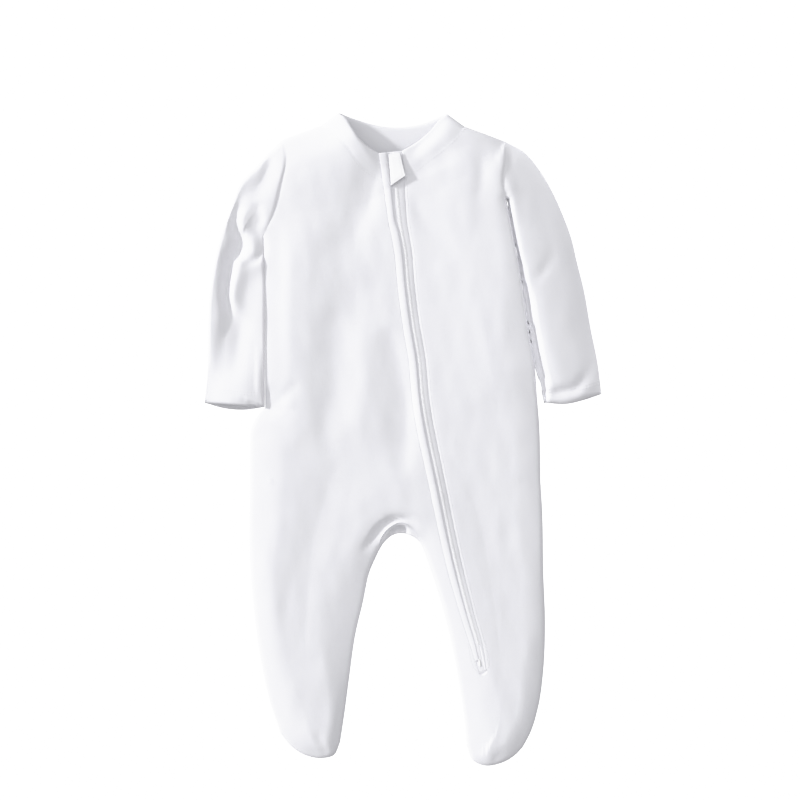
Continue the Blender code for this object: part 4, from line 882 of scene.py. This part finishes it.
def neckband_part(seam, free, on_top):
    """Grid of a stretch of the band, from its free edge to the seam: padded, round at the free
    edge and pulled down into the seam. Half of that shows where its inner side lies on top."""
    free = read(free, parts_of(seam))[:, None]
    across = np.array(BAND_COLUMNS)[None, :, None]
    plan = free + across * (seam[:, None] - free)
    width = np.linalg.norm(seam[:, None] - free, axis=-1)
    from_free, from_seam = across[..., 0] * width, (1.0 - across[..., 0]) * width
    swell = (BAND_PAD * (1.0 - np.exp(-(from_seam / BAND_PAD_WIDTH)**2))
             - (1.0 - quarter_round(from_free, BAND_ROUND))
             + BAND_PUCKER * np.sin(parts_of(seam)[:, None] * BAND_PUCKERS)
             * np.exp(-(from_seam / BAND_PUCKER_WIDTH)**2))
    if on_top:
        return np.dstack([plan, top_height(plan) + swell])
    return np.dstack([plan, under_height(plan, FOLDED_EDGES) + BAND_WALL + 0.5 * swell])


def neckband():
    """Grids of the band's right front, its back, which shows its inner side, and its left
    front."""
    right = stations(RIGHT_NECK_SEAM, 30, UNDER_ROLLED)
    left = stations(LEFT_NECK_SEAM, 34, UNDER_ROLLED)
    right[-1], left[-1] = SLIT_TOPS
    back_seam = stations(moved(smooth(BACK_NECK), -BAND_LAP), 54, UNDER_ROLLED, UNDER_ROLLED)
    return [neckband_part(right[::-1], smooth(BAND_RIGHT_FREE), True),
            neckband_part(back_seam, smooth(BAND_BACK_FREE), False),
            neckband_part(left, smooth(BAND_LEFT_FREE), True)]


band = cloth("neckband_rib", neckband(), white_interlock, "neckband", BAND_WALL)


# ------------------------------------------------------------------ zip tapes
# Two woven polyester tapes, tucked under the cloth on both sides of the teeth.
COIL_MIDDLE, COIL_WIDTH, COIL_HEIGHT = 1.9, 2.8, -0.05
TAPE_TUCK, TAPE_SUNK, TAPE_WALL = 2.5, -1.7, 0.5    # in under the cloth, below it, thickness
TAPE_END, TAPE_END_DROP, TAPE_END_FADE = 1.001, 1.2, 0.004  # past the slit it dips under the cloth
PLACKET_OUT = ((0.955, 0.98), (0.0, 1.0))   # the right tape comes out of the placket, then the slit


def ribbon(name, stops, profiles, finish, node):
    """Closed strip along the zip: a ring of (sideways, above the cloth) offsets at each stop, and
    two ends. Stops above 1 run straight on past the end."""
    even = np.linspace(0.0, 1.0, 240)
    slopes = np.gradient(read(ZIP_TEETH, even), axis=0)
    heading = unit(np.column_stack([np.interp(stops, even, column) for column in slopes.T]))
    beyond = np.maximum(stops - 1.0, 0.0)[:, None] * length_of(ZIP_TEETH)
    path = read(ZIP_TEETH, stops) + beyond * heading
    rings = np.empty(profiles.shape[:2] + (3,))
    rings[..., :2] = path[:, None] + profiles[..., :1] * left_of(heading)[:, None]
    rings[..., 2] = top_height(rings[..., :2]) + profiles[..., 1]
    closed = np.concatenate([rings, rings[:, :1]], axis=1)
    ends = [np.repeat(rings[row].mean(0)[None], closed.shape[1], axis=0) for row in (0, -1)]
    grid = np.concatenate([ends[:1], closed, ends[1:]])
    return laid_out(name, mesh_from_grids(name, [grid], finish), node)


def tape_profiles(stops, *rows):
    """Sections of a tape from its tucked edge to the middle of the teeth and back below: each row
    is a distance from the teeth and a height, the same or its own at each stop."""
    ended = TAPE_END_DROP * np.clip((stops - TAPE_END) / TAPE_END_FADE, 0.0, 1.0)
    rows = rows + tuple((side, up - TAPE_WALL) for side, up in rows[::-1])
    columns = [np.column_stack([side + 0.0 * stops, up - ended]) for side, up in rows]
    if np.max(rows[0][0]) > 0:
        columns.reverse()
    return np.stack(columns, axis=1)


tape_weave = interlock("woven polyester tape", "#F0F0F3", 0.25, wale=0.9, course=0.6)
stops = np.linspace(0.0, 1.008, 260)
to_right, to_left, to_edge = zip_widths(stops)
relief = np.interp(stops, *RELIEF)
fold = to_edge + 0.2 + np.interp(stops, *PLACKET_OUT) * (to_right - to_edge - 0.6)
tape_right = ribbon("tape_right", stops, tape_profiles(
    stops, (-to_right - TAPE_TUCK, TAPE_SUNK), (-fold - 1.5, -1.3), (-fold, -0.25 * relief),
    (-fold + 0.2, -0.2 * relief), (COIL_MIDDLE - 0.3, 0.0), (COIL_MIDDLE, 0.0)),
    tape_weave, "zip_tape_right")
tape_left = ribbon("tape_left", stops, tape_profiles(
    stops, (to_left + TAPE_TUCK, TAPE_SUNK), (to_left + 0.3, TAPE_SUNK),
    (to_left - 0.1, -0.5 * relief), (to_left - 0.4, -0.35 * relief),
    (0.4 * to_left + 1.7, -0.1 * relief), (COIL_MIDDLE + 1.2, 0.0), (COIL_MIDDLE, 0.0)),
    tape_weave, "zip_tape_left")


# ------------------------------------------------------------------ zip coil
# Closed teeth of bent polyester monofilament: each loop crosses the line of the zip, and the
# loops of the two sides lie between each other.
TOOTH_PITCH, TOOTH_SLANT = 1.25, 0.1
TOOTH_WIDTH, TOOTH_HEIGHT = 0.62, 0.32      # half of each
COIL_START, COIL_END = 0.045, 0.948
TOOTH_RINGS = ((-1.0, 0.0), (-0.86, 0.62), (-0.4, 1.0), (0.4, 1.0), (0.86, 0.62), (1.0, 0.0))


def plain(name, colour, roughness, mottle=0.0, coat=0.0):
    """Smooth moulded or enamelled finish, with a faint unevenness of tone and gloss."""
    made, tree, shader, place = finish_of(name, 1.5)
    noise = add_node(tree, "ShaderNodeTexNoise", {
        "Vector": place, "Scale": 900.0, "Detail": 3.0}).outputs["Fac"]
    shade = linear(colour)
    dim = tuple((1.0 - mottle) * part for part in shade[:3]) + (1.0,)
    tone = add_node(tree, "ShaderNodeMix", {"Factor": noise, "A": dim, "B": shade},
                    data_type="RGBA")
    gloss = add_node(tree, "ShaderNodeMapRange", {
        "Value": noise, "To Min": roughness - 0.05, "To Max": roughness + 0.05})
    tree.links.new(tone.outputs[2], shader.inputs["Base Color"])
    tree.links.new(gloss.outputs[0], shader.inputs["Roughness"])
    shader.inputs["Coat Weight"].default_value = coat
    return made


def copies(name, centres, headings, template, faces, finish, node=None):
    """One mesh of many small copies: each template point is (sideways, along, up) of its place,
    turned to its heading."""
    points = np.empty((len(centres), len(template), 3))
    points[..., :2] = (centres[:, None, :2] + template[None, :, :1] * left_of(headings)[:, None]
                       + template[None, :, 1:2] * headings[:, None])
    points[..., 2] = centres[:, None, 2] + template[None, :, 2]
    every = faces[None, :, ::-1] + len(template) * np.arange(len(centres))[:, None, None]
    mesh = bpy.data.meshes.new(name)
    mesh.from_pydata((points.reshape(-1, 3) * MM).tolist(), [],
                     every.reshape(-1, faces.shape[1]).tolist())
    mesh.materials.append(finish)
    mesh.shade_smooth()
    return laid_out(name, mesh, node)


def capsule(half_length, half_width, half_height, rings, sides=6):
    """Rounded bar across: rings of (part of the half length, part of the half width)."""
    turn = 2 * np.pi * np.arange(sides) / sides
    rings = np.array(rings)
    points = np.empty((len(rings), sides, 3))
    points[..., 0] = rings[:, :1] * half_length
    points[..., 1] = rings[:, 1:] * half_width * np.cos(turn)
    points[..., 2] = rings[:, 1:] * half_height * np.sin(turn)
    corner = np.arange(len(rings) * sides).reshape(len(rings), sides)
    after = np.roll(corner, -1, axis=1)
    faces = np.stack([corner[:-1], after[:-1], after[1:], corner[1:]], axis=-1).reshape(-1, 4)
    return points.reshape(-1, 3), faces


def places_along(line, pitch):
    """Evenly spaced points of a line, and the line's heading at each."""
    count = max(2, round(length_of(line) / pitch))
    points = read(line, np.linspace(0.0, 1.0, count))
    return points, unit(np.gradient(points, axis=0))


coil_line = moved(piece_of(ZIP_TEETH, COIL_START, COIL_END), COIL_MIDDLE)
spots, headings = places_along(coil_line, TOOTH_PITCH)
heights = top_height(spots[None])[0] + COIL_HEIGHT
points, faces = capsule(0.5 * COIL_WIDTH, TOOTH_WIDTH, TOOTH_HEIGHT, TOOTH_RINGS, 8)
coil = copies("zip_teeth", np.column_stack([spots, heights]),
              unit(headings + TOOTH_SLANT * left_of(headings)), points, faces,
              plain("white polyester monofilament", "#F2F2F4", 0.42, 0.05), "zip_coil")


# ------------------------------------------------------------------ placket
# The front's right edge beside the zip: a narrow padded fold of interlock, sewn down along its
# outer side, that stands up beside the teeth.
PLACKET_SECTION = (         # part of its width from the seam, and height above the front
    (0.0, -0.9), (0.0, -0.05), (0.04, 0.1), (0.15, 0.34), (0.3, 0.6), (0.45, 0.8), (0.6, 0.92),
    (0.75, 0.95), (0.86, 0.88), (0.94, 0.72), (0.98, 0.5), (1.0, 0.2), (1.0, -0.6), (0.9, -1.0),
    (0.4, -1.0),
)
PLACKET_END, PLACKET_LAP = 0.978, 0.5
PLACKET_LIFT = ((0.0, 0.05, 0.1), (0.9, 0.7, 0.0))      # under the tab it rides over the slider
PULL, PULL_WAVES = 0.05, (400.0, 57.0, 31.0)            # how unevenly its stitches pull it down

stops = np.linspace(0.0, PLACKET_END, 420)
to_right, _to_left, to_edge = zip_widths(stops)
stitched, gathered, slow = (np.sin(stops * waves) for waves in PULL_WAVES)
pull = (1.0 + PULL * stitched * gathered + PULL * slow) * np.interp(stops, *RELIEF)
outer, inner = -to_right - PLACKET_LAP, -to_edge
lift = np.interp(stops, *PLACKET_LIFT)
sections = np.stack([np.column_stack([outer + part * (inner - outer),
                                      up * np.where(up > 0, pull, 1.0) + lift * (up > -0.1)])
                     for part, up in PLACKET_SECTION], axis=1)
placket = ribbon("placket_fold", stops, sections,
                 interlock("white cotton interlock, placket", COTTON_WHITE, turn=0.12),
                 "zip_placket")


# ------------------------------------------------------------------ slider and bottom stop
# A small enamelled zinc slider, parked under the tab, and a white plastic stop at the zip's end.
SLIDER_PLAN = (             # half of the slider's outline: sideways, along
    (0.0, 4.5), (1.6, 4.5), (2.9, 3.6), (3.2, 1.5), (2.7, -1.0), (2.2, -3.2), (1.5, -4.4),
    (0.0, -4.5),
)
SLIDER_LAYERS = ((-1.5, 0.82), (-1.35, 1.0), (-0.75, 1.0), (-0.6, 0.82), (-0.5, 0.35),
                 (0.5, 0.35), (0.6, 0.82), (0.75, 1.0), (1.35, 1.0), (1.5, 0.82))
SLIDER_PART, SLIDER_SIDEWAYS, SLIDER_HEIGHT = 0.027, 2.9, -0.4
STOP_PART, STOP_SIDEWAYS, STOP_HEIGHT = 0.982, -0.6, -0.1
STOP_LENGTH, STOP_WIDTH = 3.6, 0.8          # half of each
STOP_RINGS = ((-1.0, 0.0), (-0.97, 0.35), (-0.88, 0.7), (-0.7, 1.0), (0.7, 1.0), (0.88, 0.7),
              (0.97, 0.35), (1.0, 0.0))


def place_on_zip(part, sideways, height):
    """Point beside the teeth at one part of the zip's length, and the zip's heading there."""
    near = read(ZIP_TEETH, [part - 0.01, part, part + 0.01])
    heading = unit(near[2] - near[0])
    spot = near[1] + sideways * left_of(heading)
    return np.array([*spot, top_height(spot[None, None])[0, 0] + height]), heading


half = np.array(SLIDER_PLAN)
outline = np.concatenate([half, (half * (-1, 1))[-2:0:-1]])
layers = [np.column_stack([outline * scale, np.full(len(outline), up)])
          for up, scale in SLIDER_LAYERS]
layers = [layers[0] * (0, 0, 1), *layers, layers[-1] * (0, 0, 1)]
template = np.concatenate(layers)
corner = np.arange(len(template)).reshape(len(layers), -1)
after = np.roll(corner, -1, axis=1)
faces = np.stack([corner[:-1], corner[1:], after[1:], after[:-1]], axis=-1).reshape(-1, 4)
spot, heading = place_on_zip(SLIDER_PART, SLIDER_SIDEWAYS, SLIDER_HEIGHT)
slider = copies("slider_body", spot[None], heading[None], template, faces,
                plain("white enamel on zinc", "#E9E9E9", 0.3, 0.03, 0.5), "zip_slider")

spot, heading = place_on_zip(STOP_PART, STOP_SIDEWAYS, STOP_HEIGHT)
points, faces = capsule(STOP_LENGTH, STOP_WIDTH, STOP_WIDTH, STOP_RINGS, 14)
stop = copies("bottom_stop", spot[None], -left_of(heading)[None], points, faces,
              plain("white moulded plastic", "#F7F7F7", 0.38, 0.02), "zip_stop")


# ------------------------------------------------------------------ garage tab
# A four-sided tab of doubled cotton over the slider at the neck, sewn down along its right edge
# and standing off the cloth at its lower left corner.
GARAGE_CORNERS = (          # plan, and height above the zip
    ("top right", -12.4, 244.6, 2.0), ("top left", -2.6, 245.8, 2.0),
    ("low left", 2.2, 226.0, 3.9), ("low right", -10.2, 217.6, 1.8),
)
GARAGE_CROWN, GARAGE_WALL = 0.5, 1.2
GROOVE, GROOVE_IN, GROOVE_WIDTH = 0.15, 1.7, 0.45       # the sewn groove inside its rim
TAB_WIDTH, TAB_LENGTH = 12.0, 26.0


def garage_tab():
    """Grid of the tab between its corners, with a crown of (1 - |2u - 1|^4) (1 - |2v - 1|^6)
    and a groove along its sewn rim."""
    u = np.linspace(0.0, 1.0, 25)[None, :, None]
    v = np.linspace(0.0, 1.0, 41)[:, None, None]
    top_right, top_left, low_left, low_right = (np.array(row[1:]) for row in GARAGE_CORNERS)
    grid = ((1 - v) * ((1 - u) * top_right + u * top_left)
            + v * ((1 - u) * low_right + u * low_left))
    crown = ((1 - np.abs(2 * u - 1)**4) * (1 - np.abs(2 * v - 1)**6))[..., 0]
    rim = np.minimum(np.minimum(u, 1 - u) * TAB_WIDTH, np.minimum(v, 1 - v) * TAB_LENGTH)[..., 0]
    groove = GROOVE * np.exp(-((rim - GROOVE_IN) / GROOVE_WIDTH)**2)
    grid[..., 2] += top_height(grid[..., :2]).mean() + GARAGE_CROWN * crown - groove
    return grid


# The tab's cotton is given a whiter tone than the suit's (#F9F9FA against #F1F1F4). This is a
# painted highlight for the tab's tilt up towards the window.
garage = cloth("garage_tab", [garage_tab()],
               interlock("white cotton jersey, painted highlight", "#F9F9FA", 0.1, wale=1.1, course=0.85),
               "zip_garage", GARAGE_WALL)


# ------------------------------------------------------------------ stitching
# White polyester thread: lockstitches 2.7 mm apart along both sides of the zip and the neck
# seam, two rows round each hem, and a U round the end of the zip.
STITCH_LENGTH, STITCH_GAP, THREAD, THREAD_UP = 2.0, 0.7, 0.17, 0.03
STITCH_RINGS = ((-1.0, 0.15), (-0.8, 0.75), (0.0, 1.0), (0.8, 0.75), (1.0, 0.15))
STITCHED = (                # line, the stretch of it that is sewn, and how far to its left
    (SLIT_RIGHT, 0.056, 0.985, -1.3), (SLIT_LEFT, 0.056, 0.985, 1.9),
    (RIGHT_NECK_SEAM, 0.03, 0.97, -1.9), (LEFT_NECK_SEAM, 0.03, 0.97, 1.9))
HEM_ROWS = (9.5, 11.8)      # stitch rows up from a sleeve's hem
BOW_PART, BOW_WIDTH, BOW_DEPTH, BOW_LEGS = 0.975, 7.6, 10.5, -14.0      # the U round the zip's end

stitch_lines = [moved(piece_of(line, *sewn), aside) for line, *sewn, aside in STITCHED]
for rise in HEM_ROWS:
    for outer, hem in ((RIGHT_SLEEVE_OUTER, RIGHT_HEM), (LEFT_SLEEVE_OUTER, LEFT_HEM)):
        up = unit(np.subtract(outer[-2], outer[-1]))
        stitch_lines.append(read(smooth(hem), np.linspace(0.03, 0.97, 40)) + rise * up)
end, heading = place_on_zip(BOW_PART, 0.0, 0.0)
turn = np.linspace(-0.5 * np.pi, 0.5 * np.pi, 20)
bow = np.column_stack([BOW_WIDTH * np.sin(turn), BOW_DEPTH * np.maximum(np.cos(turn), 0.0)**0.6])
bow = np.concatenate([[(-BOW_WIDTH, BOW_LEGS)], bow, [(BOW_WIDTH, BOW_LEGS)]])
stitch_lines.append(end[:2] + bow[:, :1] * left_of(heading) + bow[:, 1:] * heading)

spots, headings = zip(*(places_along(line, STITCH_LENGTH + STITCH_GAP) for line in stitch_lines))
spots, headings = np.concatenate(spots), np.concatenate(headings)
heights = front_height(spots[None])[0] + THREAD_UP
points, faces = capsule(0.5 * STITCH_LENGTH, THREAD, THREAD, STITCH_RINGS)
stitches = copies("stitching", np.column_stack([spots, heights]), -left_of(headings), points, faces,
                  plain("white polyester thread", "#F0F0F2", 0.5, 0.06))
